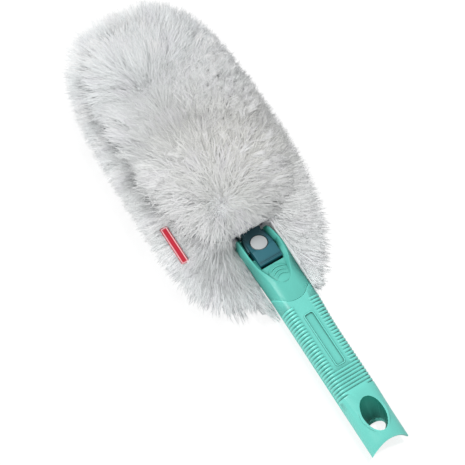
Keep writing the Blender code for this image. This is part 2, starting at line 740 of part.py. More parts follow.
def build_socket_body(parent):
    """The front of the grip: cheeks, channel, thumb pad and the spigot inside the shells."""
    rings = []
    end = SEAM_APEX + OVERRUN
    for i in range(SOCKET_STEPS + 1):
        x = end * (i / SOCKET_STEPS) ** SOCKET_STEP_POWER
        top = mirrored(grip_top_half(x))
        belly = mirrored(grip_belly_half(x))
        nose = min(x / GRIP_BELLY, 1.0)
        depth = 1.0 - (1.0 - NOSE_BELLY_SHARE) * (1.0 - nose) ** 2
        ring = top + [(y, z * depth) for y, z in belly[-2:0:-1]]
        rings.append([(x, y, z) for y, z in ring])
    body = new_object("socket_body", loft("socket_body", rings), parent, "mint_plastic")
    low, high = -GRIP_TOP - OVERRUN, GRIP_TOP + OVERRUN
    behind = seam_outline(0.0, SPIGOT_END + OVERRUN)
    cut(body, cutter("seam_cut_socket", prism("seam_cut_socket", behind, low, high), parent))
    spigot = [
        (SEAM_APEX - SEAM_BOW, SPIGOT_BOTTOM), (SPIGOT_END, SPIGOT_BOTTOM),
        (SPIGOT_END, SPIGOT_TOP), (SEAM_APEX - SEAM_BOW, SPIGOT_TOP),
    ]
    add(body, cutter("spigot", side_prism("spigot", spigot, SPIGOT_HALF_WIDTH), parent))
    cut(body, cutter("scoop", scoop_mesh(), parent))
    add(body, cutter("thumb_pad", pad_mesh(), parent))
    for number in range(PAD_RIDGE_COUNT):
        name = f"pad_ridge_{number}"
        add(body, cutter(name, pad_ridge_mesh(name, number), parent))
    channel = [
        (-OVERRUN, CHANNEL_FLOOR), (CHANNEL_END, CHANNEL_FLOOR),
        (CHANNEL_END, GRIP_TOP + OVERRUN), (-OVERRUN, GRIP_TOP + OVERRUN),
    ]
    cut(body, cutter("channel", side_prism("channel", channel, CHANNEL_HALF_WIDTH), parent))
    groove = [
        (-OVERRUN, RAIL_GROOVE_BOTTOM), (CHANNEL_END, RAIL_GROOVE_BOTTOM),
        (CHANNEL_END, RAIL_GROOVE_TOP), (-OVERRUN, RAIL_GROOVE_TOP),
    ]
    reach = CHANNEL_HALF_WIDTH + RAIL_GROOVE_DEPTH
    cut(body, cutter("latch_groove", side_prism("latch_groove", groove, reach), parent))
    front = GRIP_SCREW_PLACES["grip_screw_front"]
    radius = SCREW_SHANK_RADIUS + CLEARANCE
    tip = -GRIP_BELLY + SCREW_LENGTH + CLEARANCE
    pilot = upright("front_pilot", front, 0.0, radius, SPIGOT_BOTTOM - OVERRUN, tip)
    cut(body, cutter("front_pilot", pilot, parent))
    return body


def button_bottom():
    """The underside of the button, in its own frame."""
    return BUTTON_PROUD - BUTTON_HEIGHT


def latch_bottom():
    """The underside of the latch bar, in the button's frame."""
    return button_bottom() - CLEARANCE - LATCH_HEIGHT


def spring_foot():
    """The underside of the spring, in the button's frame at rest."""
    return latch_bottom() - BUTTON_TRAVEL - CLEARANCE - SPRING_PRESSED_HEIGHT


def slope_height(x):
    """Height of the block's sloping front face."""
    return BLOCK_TOP - BLOCK_EDGE - (BLOCK_STEP - x) * math.tan(BLOCK_SLOPE)


def button_place():
    """The middle of the button's face, in the grip frame."""
    return Vector((BUTTON_X, 0.0, slope_height(BUTTON_X)))


def button_turn():
    """Turns +Z to the normal of the block's sloping face."""
    return Matrix.Rotation(-BLOCK_SLOPE, 4, "Y")


def build_adapter_block(parent):
    """The petrol block that carries the button, with the neck's upper jaw."""
    bottom = CHANNEL_FLOOR + CLEARANCE
    jaw_bottom = PADDLE_BOTTOM + PADDLE_THICKNESS + CLEARANCE
    outline = [
        (BLOCK_REAR, bottom), (BLOCK_REAR, BLOCK_TOP - BLOCK_EDGE), (BLOCK_REAR - BLOCK_EDGE, BLOCK_TOP),
        (BLOCK_STEP, BLOCK_TOP), (BLOCK_STEP - BLOCK_EDGE, slope_height(BLOCK_STEP - BLOCK_EDGE)),
        (BLOCK_FRONT, slope_height(BLOCK_FRONT)),
        (BLOCK_FRONT - BLOCK_EDGE, slope_height(BLOCK_FRONT) - BLOCK_EDGE),
        (BLOCK_FRONT - BLOCK_EDGE, bottom),
    ]
    half_width = CHANNEL_HALF_WIDTH - CLEARANCE
    body = side_prism("adapter_block", outline, half_width)
    block = new_object("adapter_block", body, parent, "petrol_plastic")
    jaw = [
        (BLOCK_FRONT + NECK_SHOULDER, jaw_bottom), (BLOCK_FRONT + NECK_SHOULDER, NECK_TOP),
        (-NECK_REACH * NECK_TAPER_SHARE, NECK_TOP), (-NECK_REACH, NECK_TOP - GRIP_WALL / 2),
        (-NECK_REACH, jaw_bottom),
    ]
    add(block, cutter("upper_jaw", side_prism("upper_jaw", jaw, NECK_HALF_WIDTH), parent))
    front = BLOCK_FRONT - BLOCK_EDGE
    wing = [
        (front, WING_BOTTOM), (WING_END, WING_BOTTOM), (WING_END, WING_REAR_TOP), (front, WING_FRONT_TOP),
    ]
    add(block, cutter("wings", side_prism("wings", wing, WING_HALF_WIDTH), parent))
    for number in range(BLOCK_RIDGE_COUNT):
        name = f"block_ridge_{number}"
        x = BLOCK_REAR - BLOCK_RIDGE_INSET * (1.0 + number / BLOCK_RIDGE_COUNT)
        ridge = [
            (x, BLOCK_TOP - BLOCK_EDGE), (x + BLOCK_RIDGE_WIDTH, BLOCK_TOP - BLOCK_EDGE),
            (x + BLOCK_RIDGE_WIDTH, BLOCK_TOP + BLOCK_RIDGE_RISE), (x, BLOCK_TOP + BLOCK_RIDGE_RISE),
        ]
        add(block, cutter(name, side_prism(name, ridge, half_width - BLOCK_EDGE), parent))
    at_button = Matrix.Translation(button_place()) @ button_turn()
    bore_floor = button_bottom() - BUTTON_TRAVEL - CLEARANCE
    bore = upright("button_bore", 0.0, 0.0, BUTTON_RADIUS + BUTTON_GAP, bore_floor, OVERRUN)
    bore.transform(at_button)
    cut(block, cutter("button_bore", bore, parent))
    slot_floor = latch_bottom() - BUTTON_TRAVEL - CLEARANCE
    slot_half = LATCH_WIDTH / 2 + CLEARANCE
    slot_line = [
        (-slot_half, slot_floor), (slot_half, slot_floor),
        (slot_half, button_bottom()), (-slot_half, button_bottom()),
    ]
    slot = side_prism("latch_slot", slot_line, half_width + OVERRUN)
    slot.transform(at_button)
    cut(block, cutter("latch_slot", slot, parent))
    pocket_floor = spring_foot() - CLEARANCE
    pocket_radius = SPRING_RADIUS + SPRING_WIRE_RADIUS + CLEARANCE
    pocket = upright("spring_pocket", 0.0, 0.0, pocket_radius, pocket_floor, button_bottom())
    pocket.transform(at_button)
    cut(block, cutter("spring_pocket", pocket, parent))
    for name, y in CLAMP_SCREW_PLACES.items():
        radius = SCREW_SHANK_RADIUS + CLEARANCE
        roof = NECK_TOP - GRIP_WALL / 2
        hole = upright(f"{name}_bore", CLAMP_SCREW_X, y, radius, jaw_bottom - OVERRUN, roof)
        cut(block, cutter(f"{name}_bore", hole, parent))
    return block


def build_adapter_base(parent):
    """The lower jaw that clamps the paddle's root."""
    top = PADDLE_BOTTOM - CLEARANCE
    outline = rounded_rectangle(
        -NECK_REACH, -CLEARANCE, -CLAMP_HALF_WIDTH, CLAMP_HALF_WIDTH, NECK_SHOULDER
    )
    jaw = prism("adapter_base", outline, BASE_BOTTOM, top)
    base = new_object("adapter_base", jaw, parent, "petrol_plastic")
    for name, y in CLAMP_SCREW_PLACES.items():
        radius = SCREW_SHANK_RADIUS + CLEARANCE
        hole = upright(f"{name}_through", CLAMP_SCREW_X, y, radius, BASE_BOTTOM - OVERRUN, top + OVERRUN)
        cut(base, cutter(f"{name}_through", hole, parent))
        radius = SCREW_HEAD_RADIUS + CLEARANCE
        seat = BASE_BOTTOM + SCREW_HEAD_HEIGHT + CLEARANCE
        sink = upright(f"{name}_sink", CLAMP_SCREW_X, y, radius, BASE_BOTTOM - OVERRUN, seat)
        cut(base, cutter(f"{name}_sink", sink, parent))
    return base


def build_clamp_screws(parent):
    """The two screws that hold the jaws together through the paddle's root."""
    for name, y in CLAMP_SCREW_PLACES.items():
        mesh = screw_mesh(name, CLAMP_SCREW_LENGTH - SCREW_HEAD_HEIGHT, SCREW_HEAD_HEIGHT)
        screw = new_object(name, mesh, parent, "steel")
        screw.location = (CLAMP_SCREW_X, y, BASE_BOTTOM + SCREW_HEAD_HEIGHT)


def build_button(parent):
    """The round release button, in its own turned frame."""
    top = BUTTON_PROUD
    radius = BUTTON_RADIUS
    soft = BUTTON_ROUNDING
    profile = (
        (radius, button_bottom()), (radius, top - soft),
        (radius - BUTTON_ROUNDING_SHARE * soft, top - BUTTON_ROUNDING_SHARE * soft), (radius - soft, top),
    )
    points = 2 * ROUND_POINTS
    rings = [[(x, y, z) for x, y in circle(0.0, 0.0, reach, points)] for reach, z in profile]
    button = new_object("release_button", loft("release_button", rings), parent, "grey_button")
    return button


def build_latch_bar(parent):
    """The bar under the button whose ends run in the grip's grooves."""
    top = button_bottom() - CLEARANCE
    outline = [
        (-LATCH_WIDTH / 2, latch_bottom()), (LATCH_WIDTH / 2, latch_bottom()),
        (LATCH_WIDTH / 2, top), (-LATCH_WIDTH / 2, top),
    ]
    bar = side_prism("latch_bar", outline, LATCH_LENGTH / 2)
    return new_object("latch_bar", bar, parent, "white_plastic")


def paddle_tip():
    """How far the paddle reaches into the head."""
    return HEAD_REACH - PADDLE_TIP_INSET


def paddle_half_width():
    return HEAD_HALF_WIDTH - PADDLE_SIDE_INSET


def window_edge(x):
    """Distance from the middle to the inner edge of the paddle's rim at a place."""
    middle = -(paddle_tip() + PADDLE_REAR) / 2
    reach = (paddle_tip() - PADDLE_REAR) / 2 - PADDLE_RIM
    share = min(abs(x - middle) / reach, 1.0)
    return (paddle_half_width() - PADDLE_RIM) * (1.0 - share**PADDLE_POWER) ** (1.0 / PADDLE_POWER)


def window_mesh(name, start, end, side, low, high):
    """One window between the spine, two bars and the rim."""
    inner_edge = PADDLE_SPINE / 2
    outline = [(start, side * inner_edge), (end, side * inner_edge)]
    for i in range(WINDOW_STEPS + 1):
        x = end + (start - end) * i / WINDOW_STEPS
        y = max(window_edge(x), inner_edge + WINDOW_LEAST_DEPTH)
        outline.append((x, side * y))
    return prism(name, outline, low - OVERRUN, high + OVERRUN)


def build_paddle(parent):
    """The flat springy paddle: a rim, a spine and cross bars round open windows."""
    low, high = PADDLE_BOTTOM, PADDLE_BOTTOM + PADDLE_THICKNESS
    outline = oval(paddle_tip(), -PADDLE_REAR, paddle_half_width(), PADDLE_POWER, PILE_POINTS)
    blade = prism("paddle_frame", outline, low, high)
    paddle = new_object("paddle_frame", blade, parent, "white_plastic")
    root = rounded_rectangle(
        -PADDLE_REAR - PADDLE_RIM, -PADDLE_ROOT_END,
        -PADDLE_ROOT_HALF_WIDTH, PADDLE_ROOT_HALF_WIDTH, PADDLE_RIM / 2,
    )
    add(paddle, cutter("paddle_root", prism("paddle_root", root, low, high), parent))
    front = -paddle_tip() + PADDLE_RIM
    pitch = (-PADDLE_REAR - PADDLE_RIM - front) / WINDOW_COUNT
    for number in range(WINDOW_COUNT):
        start = front + number * pitch + (PADDLE_BAR / 2 if number else 0.0)
        end = front + (number + 1) * pitch - PADDLE_BAR / 2
        for side_name, side in (("left", -1), ("right", 1)):
            name = f"window_{side_name}_{number}"
            cut(paddle, cutter(name, window_mesh(name, start, end, side, low, high), parent))
    for name, y in CLAMP_SCREW_PLACES.items():
        radius = SCREW_SHANK_RADIUS + CLEARANCE
        hole = upright(f"{name}_paddle_hole", CLAMP_SCREW_X, y, radius, low - OVERRUN, high + OVERRUN)
        cut(paddle, cutter(f"{name}_paddle_hole", hole, parent))
    return paddle


def build_backing(name, low, parent):
    """One sheet of the cover's backing cloth."""
    tip = HEAD_REACH - BACKING_TIP_INSET
    rear = -NECK_REACH - CLEARANCE
    outline = oval(tip, rear, HEAD_HALF_WIDTH - BACKING_SIDE_INSET, PADDLE_POWER, PILE_POINTS)
    sheet = prism(name, outline, low, low + BACKING_THICKNESS)
    return new_object(name, sheet, parent, "backing_cloth")


def head_outline(inset, points):
    """Plan outline of the whole head, drawn in by an inset."""
    return oval(HEAD_REACH - inset, HEAD_REAR - inset, HEAD_HALF_WIDTH - inset, HEAD_POWER, points)


def bed_mesh(name, low, high):
    """The channel in the pile that the grip and its neck lie in."""
    end = HEAD_REAR + 2 * OVERRUN
    outline = rounded_rectangle(-BED_FRONT, end, -BED_HALF_WIDTH, BED_HALF_WIDTH, BED_CORNER)
    return prism(name, outline, low, high)


def build_lower_pile(parent):
    """The pile of the lower panel, pressed flat on the surface."""
    floor = -SIDE_LINE_HEIGHT
    top = lower_pile_top()
    insets = (
        (LOWER_PILE_INSET + LOWER_PILE_ROUNDING / 2, floor),
        (LOWER_PILE_INSET, floor + LOWER_PILE_ROUNDING / 2),
        (LOWER_PILE_INSET, top - LOWER_PILE_ROUNDING / 2),
        (LOWER_PILE_INSET + LOWER_PILE_ROUNDING / 2, top),
    )
    rings = [[(x, y, z) for x, y in head_outline(inset, PILE_POINTS)] for inset, z in insets]
    pile = new_object("lower_pile", loft("lower_pile", rings), parent, "white_pile")
    bed_floor = -GRIP_BELLY - CLEARANCE
    cut(pile, cutter("bed_lower", bed_mesh("bed_lower", bed_floor, OVERRUN), parent))
    return pile


def mound_outline(grow, plan_share, points):
    """Plan outline of the mound, at a share of its size and then grown."""
    tip = HEAD_REACH - EDGE_PILE_WIDTH - PILE_GAP
    half_width = HEAD_HALF_WIDTH - EDGE_PILE_WIDTH - PILE_GAP
    middle = (-UPPER_PILE_REAR - tip) / 2
    reach = (tip - UPPER_PILE_REAR) / 2 * plan_share + grow
    return oval(reach - middle, reach + middle, half_width * plan_share + grow, UPPER_PILE_POWER, points)


def evenly(path, steps):
    """Points at even distances along a path, its ends included."""
    runs = [0.0]
    for before, after in zip(path, path[1:]):
        runs.append(runs[-1] + math.dist(before, after))
    chosen = []
    for i in range(steps + 1):
        goal = runs[-1] * i / steps
        k = min(max(j for j in range(len(runs)) if runs[j] <= goal), len(path) - 2)
        share = (goal - runs[k]) / (runs[k + 1] - runs[k])
        chosen.append(tuple(a + (b - a) * share for a, b in zip(path[k], path[k + 1])))
    return chosen


def half_path(outline, end_x):
    """One side of a plan outline, from its tip to the grip and on along the grip to an end."""
    side = [(x, y) for x, y in outline if y > 0 and (x < -EDGE_PILE_LOBE_START or y > EDGE_PILE_MOUTH_HALF_WIDTH)]
    side.sort(key=lambda point: math.atan2(point[1], -point[0] - HEAD_REACH / 2))
    return side + [(end_x, EDGE_PILE_MOUTH_HALF_WIDTH)]


def edge_pile_path():
    """Outer and inner points of the edge pile, from one side of the grip round to the other."""
    outer_end = max(x for x, y in head_outline(0.0, PATH_POINTS) if abs(y) > EDGE_PILE_MOUTH_HALF_WIDTH)
    outer = half_path(head_outline(0.0, PATH_POINTS), outer_end)
    inner = half_path(mound_outline(PILE_GAP, 1.0, PATH_POINTS), outer_end - EDGE_PILE_REAR_INSET)
    runs = []
    for path in (outer, inner):
        front = [point for point in path if point[0] < -EDGE_PILE_LOBE_START]
        lobe = path[len(front) - 1:]
        runs.append(evenly(front, EDGE_PILE_SIDE_STEPS)[:-1] + evenly(lobe, EDGE_PILE_LOBE_STEPS))
    half = list(zip(*runs))
    other = [((outer[0], -outer[1]), (inner[0], -inner[1])) for outer, inner in half]
    return other[::-1] + half


def build_edge_pile(parent):
    """The long pile round the rim and beside the grip: a band open where the grip leaves."""
    low = lower_pile_top() + CLEARANCE
    rings = []
    for outer, inner in edge_pile_path():
        middle = (Vector(outer) + Vector(inner)) / 2
        half = (Vector(outer) - Vector(inner)) / 2
        fall = min(max((middle.x + EDGE_PILE_LOBE_START) / (HEAD_REAR + EDGE_PILE_LOBE_START), 0.0), 1.0)
        height = EDGE_PILE_HEIGHT * (1.0 - (1.0 - EDGE_PILE_END_SHARE) * fall)
        ring = []
        for j in range(EDGE_PILE_SIDE_POINTS):
            turn = 2.0 * math.pi * (j + 0.5) / EDGE_PILE_SIDE_POINTS
            spot = middle + half * signed_power(math.cos(turn), EDGE_PILE_POWER)
            up = height / 2 * (1.0 + signed_power(math.sin(turn), EDGE_PILE_POWER))
            ring.append((spot.x, spot.y, low + up))
        rings.append(ring)
    return new_object("edge_pile", loft("edge_pile", rings), parent, "white_pile")


def build_upper_pile(parent):
    """The domed pile of the upper panel."""
    base = upper_backing_bottom() + BACKING_THICKNESS + CLEARANCE
    rings = []
    for plan_share, height_share in UPPER_PILE_SHARES:
        outline = mound_outline(0.0, plan_share, PILE_POINTS)
        rings.append([(x, y, base + UPPER_PILE_HEIGHT * height_share) for x, y in outline])
    pile = new_object("upper_pile", loft("upper_pile", rings), parent, "white_pile")
    band = band_mesh("band_space", BAND_THICKNESS + CLEARANCE, OVERRUN)
    cut(pile, cutter("band_space", band, parent))
    neck_half = CLAMP_HALF_WIDTH + CLEARANCE
    neck = rounded_rectangle(-NECK_REACH - OVERRUN, OVERRUN, -neck_half, neck_half, NECK_SHOULDER)
    neck_space = prism("neck_space", neck, -OVERRUN, NECK_TOP + CLEARANCE)
    cut(pile, cutter("neck_space", neck_space, parent))
    return pile


def upper_backing_bottom():
    return PADDLE_BOTTOM + PADDLE_THICKNESS + CLEARANCE


def lower_backing_bottom():
    return PADDLE_BOTTOM - CLEARANCE - BACKING_THICKNESS


def lower_pile_top():
    return lower_backing_bottom() - CLEARANCE


def band_mesh(name, grow, overrun):
    """The mouth's oval band as a solid, grown outwards."""
    growth = grow - BAND_THICKNESS
    side = BAND_HALF_WIDTH + growth
    outline = rounded_rectangle(
        -side, side, BAND_BOTTOM - growth, BAND_TOP + growth, BAND_CORNER + growth
    )
    rings = [[(x, y, z) for y, z in outline] for x in (-BAND_FRONT - overrun, -BAND_REAR + overrun)]
    return loft(name, rings)


def build_mouth_band(parent):
    """The fleece band round the cover's mouth, with the neck passing through it."""
    band = new_object("mouth_band", band_mesh("mouth_band", BAND_THICKNESS, 0.0), parent, "backing_cloth")
    cut(band, cutter("band_bore", band_mesh("band_bore", 0.0, OVERRUN), parent))
    return band


def build_label(parent):
    """The bare red tag sewn in the side seam, lying on the edge pile."""
    top = lower_pile_top() + CLEARANCE + EDGE_PILE_HEIGHT
    x, y = LABEL_CENTRE_X, LABEL_SIDE_INSET - HEAD_HALF_WIDTH
    outline = rounded_rectangle(
        x - LABEL_LENGTH / 2, x + LABEL_LENGTH / 2, y - LABEL_WIDTH / 2, y + LABEL_WIDTH / 2, LABEL_THICKNESS
    )
    low = top + CLEARANCE
    tag = prism("side_label", outline, low, low + LABEL_THICKNESS)
    return new_object("side_label", tag, parent, "red_label")


def build_button_spring(parent):
    """The coil spring in its pocket under the latch bar, at its pressed height, in the button's frame."""
    height = SPRING_PRESSED_HEIGHT - 2 * SPRING_WIRE_RADIUS
    top = spring_foot() + SPRING_WIRE_RADIUS + height
    count = round(SPRING_TURN_COUNT * SPRING_POINTS_PER_TURN)
    rings = []
    for i in range(count + 1):
        turn = 2.0 * math.pi * i / SPRING_POINTS_PER_TURN
        out = Vector((math.cos(turn), math.sin(turn), 0.0))
        centre = out * SPRING_RADIUS + Vector((0.0, 0.0, top - height * i / count))
        ring = []
        for j in range(SPRING_WIRE_POINTS):
            wire_turn = 2.0 * math.pi * j / SPRING_WIRE_POINTS
            reach = out * math.cos(wire_turn) + Vector((0.0, 0.0, math.sin(wire_turn)))
            ring.append(tuple(centre + reach * SPRING_WIRE_RADIUS))
        rings.append(ring)
    return new_object("button_spring", loft("button_spring", rings), parent, "steel")


def main():
    clear_scene()
    middle = (HEAD_REACH - GRIP_LENGTH) / 2
    duster = frame_empty("duster_frame", (middle, 0.0, SIDE_LINE_HEIGHT))
    grip = frame_empty("grip_frame", (0.0, 0.0, 0.0), duster)
    button = frame_empty("button_frame", button_place(), duster)
    button.rotation_euler = button_turn().to_euler()
    build_socket_body(grip)
    build_grip_upper_shell(grip)
    build_grip_lower_shell(grip)
    build_grip_screws(grip)
    build_adapter_block(duster)
    build_adapter_base(duster)
    build_clamp_screws(duster)
    build_button(button)
    build_latch_bar(button)
    build_button_spring(button)
    build_paddle(duster)
    build_backing("upper_backing", upper_backing_bottom(), duster)
    build_backing("lower_backing", lower_backing_bottom(), duster)
    build_lower_pile(duster)
    build_edge_pile(duster)
    build_upper_pile(duster)
    build_mouth_band(duster)
    build_label(duster)


main()
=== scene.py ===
"""Looks of a fluffy hand duster with a mint green grip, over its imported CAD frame."""
import json
import logging
import math
from dataclasses import dataclass, field
from enum import Enum
from typing import Callable

import bpy
import numpy as np
from mathutils import Matrix, Vector
from mathutils.kdtree import KDTree

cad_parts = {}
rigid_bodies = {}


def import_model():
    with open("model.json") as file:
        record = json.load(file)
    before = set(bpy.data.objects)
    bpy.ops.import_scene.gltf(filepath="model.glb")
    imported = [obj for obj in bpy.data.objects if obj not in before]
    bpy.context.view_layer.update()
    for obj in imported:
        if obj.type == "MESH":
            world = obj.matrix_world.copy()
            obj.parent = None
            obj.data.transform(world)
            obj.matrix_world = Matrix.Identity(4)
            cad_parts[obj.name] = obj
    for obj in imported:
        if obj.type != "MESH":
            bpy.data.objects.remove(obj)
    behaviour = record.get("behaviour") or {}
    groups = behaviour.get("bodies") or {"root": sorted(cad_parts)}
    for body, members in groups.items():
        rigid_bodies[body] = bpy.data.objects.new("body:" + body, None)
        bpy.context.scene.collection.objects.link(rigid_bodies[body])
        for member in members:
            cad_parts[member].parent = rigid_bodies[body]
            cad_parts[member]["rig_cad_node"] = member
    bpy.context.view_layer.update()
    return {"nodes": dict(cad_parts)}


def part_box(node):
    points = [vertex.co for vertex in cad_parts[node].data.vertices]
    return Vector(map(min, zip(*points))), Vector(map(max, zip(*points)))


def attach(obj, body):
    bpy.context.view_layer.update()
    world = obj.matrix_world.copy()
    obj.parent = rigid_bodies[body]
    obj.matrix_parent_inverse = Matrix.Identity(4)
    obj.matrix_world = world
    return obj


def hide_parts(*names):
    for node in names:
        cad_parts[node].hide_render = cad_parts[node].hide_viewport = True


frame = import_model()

logging.basicConfig(level=logging.INFO, format="%(message)s")
LOG = logging.getLogger("duster")

MM = 0.001
# A full turn in radians, as the cloths' waves and the strands' sway take it
ROUND_TURN = 6.28
Colour = tuple[float, float, float]
Point = tuple[float, float, float]
Span = tuple[float, float]
Spot = tuple[float, float]
Array = np.ndarray
Piece = bpy.types.Object
Socket = bpy.types.NodeSocket
WHITE: Colour = (1.0, 1.0, 1.0)


class Body(Enum):
    """The CAD bodies that pieces ride on."""

    HEAD = "head"
    GRIP = "grip"
    BUTTON = "button"


class Slot(Enum):
    """The record's material slots."""

    MINT = "mint_plastic"
    PETROL = "petrol_plastic"
    BUTTON = "grey_button"
    WHITE = "white_plastic"
    STEEL = "steel"
    PILE = "white_pile"
    CLOTH = "backing_cloth"
    LABEL = "red_label"


# Materials


class NodeBench:
    """A material's node tree, with short calls to add and join nodes."""

    def __init__(self, name: str) -> None:
        """Starts a material of that name with an empty tree and an output.

        Args:
            name: The material's name.
        """
        self.material = bpy.data.materials.new(name)
        self.material.use_nodes = True
        self.tree = self.material.node_tree
        self.tree.nodes.clear()
        self.output = self.tree.nodes.new("ShaderNodeOutputMaterial")

    def add(self, kind: str, values: dict | None = None, **settings: object) -> bpy.types.Node:
        """Adds a node.

        Args:
            kind: The node's type, without ShaderNode in front.
            values: Input values by socket name.
            settings: Attributes of the node.

        Returns:
            The new node.
        """
        node = self.tree.nodes.new("ShaderNode" + kind)
        for key, value in settings.items():
            setattr(node, key, value)
        for key, value in (values or {}).items():
            node.inputs[key].default_value = value
        return node

    def join(self, start: Socket, end: Socket) -> None:
        """Links an output to an input."""
        self.tree.links.new(start, end)

    def feed(self, kind: str, *values: Socket | float, **settings: object) -> Socket:
        """Adds a node and fills its inputs in their order.

        Args:
            kind: The node's type, without ShaderNode in front.
            values: Sockets to join, or plain values.
            settings: Attributes of the node.

        Returns:
            The node's first output.
        """
        node = self.add(kind, **settings)
        for socket, value in zip(node.inputs, values):
            if isinstance(value, Socket):
                self.join(value, socket)
            else:
                socket.default_value = value
        return node.outputs[0]

    def noise(
        self, scale: float, detail: float = 3.0, stretch: Point = (1.0, 1.0, 1.0)
    ) -> Socket:
        """Adds a noise on Object coordinates.

        Args:
            scale: The noise's scale, per metre.
            detail: Its detail.
            stretch: Scale along each axis.

        Returns:
            The noise's value socket.
        """
        place = self.add("TexCoord")
        mapping = self.add("Mapping", {"Scale": stretch})
        self.join(place.outputs["Object"], mapping.inputs["Vector"])
        noise = self.add("TexNoise", {"Scale": scale, "Detail": detail})
        self.join(mapping.outputs["Vector"], noise.inputs["Vector"])
        return noise.outputs["Fac"]

    def ramp(
        self, value: Socket, low: Colour, high: Colour, start: float = 0.3, end: float = 0.7
    ) -> Socket:
        """Turns a value into a colour between two colours.

        Args:
            value: The value's socket.
            low: Colour at the start.
            high: Colour at the end.
            start: Where the low colour ends.
            end: Where the high colour starts.

        Returns:
            The colour's socket.
        """
        ramp = self.add("ValToRGB")
        ramp.color_ramp.elements[0].position = start
        ramp.color_ramp.elements[0].color = (*low, 1.0)
        ramp.color_ramp.elements[1].position = end
        ramp.color_ramp.elements[1].color = (*high, 1.0)
        self.join(value, ramp.inputs["Fac"])
        return ramp.outputs["Color"]

    def span(self, value: Socket, low: float, high: float) -> Socket:
        """Maps a 0 to 1 value on to a range.

        Args:
            value: The value's socket.
            low: What 0 becomes.
            high: What 1 becomes.

        Returns:
            The mapped value's socket.
        """
        node = self.add("MapRange", {"To Min": low, "To Max": high})
        self.join(value, node.inputs["Value"])
        return node.outputs["Result"]

    def multiply(self, first: Socket, second: Socket) -> Socket:
        """Multiplies two colours.

        Args:
            first: The first colour's socket.
            second: The second colour's socket.

        Returns:
            The product's socket.
        """
        blend = self.add("Mix", data_type="RGBA", blend_type="MULTIPLY")
        blend.inputs["Factor"].default_value = 1.0
        self.join(first, blend.inputs["A"])
        self.join(second, blend.inputs["B"])
        return blend.outputs["Result"]

    def bump(self, height: Socket, strength: float, distance: float) -> Socket:
        """Turns a height into a normal.

        Args:
            height: The height's socket.
            strength: The bump's strength.
            distance: Its depth in metres.

        Returns:
            The normal's socket.
        """
        node = self.add("Bump", {"Strength": strength, "Distance": distance})
        self.join(height, node.inputs["Height"])
        return node.outputs["Normal"]

    def finish(self, shader: Socket) -> bpy.types.Material:
        """Joins the shader to the output and returns the material."""
        self.join(shader, self.output.inputs["Surface"])
        return self.material


def tinted(colour: Colour, factor: float) -> Colour:
    """A colour made lighter or darker by a factor."""
    return tuple(min(part * factor, 1.0) for part in colour)


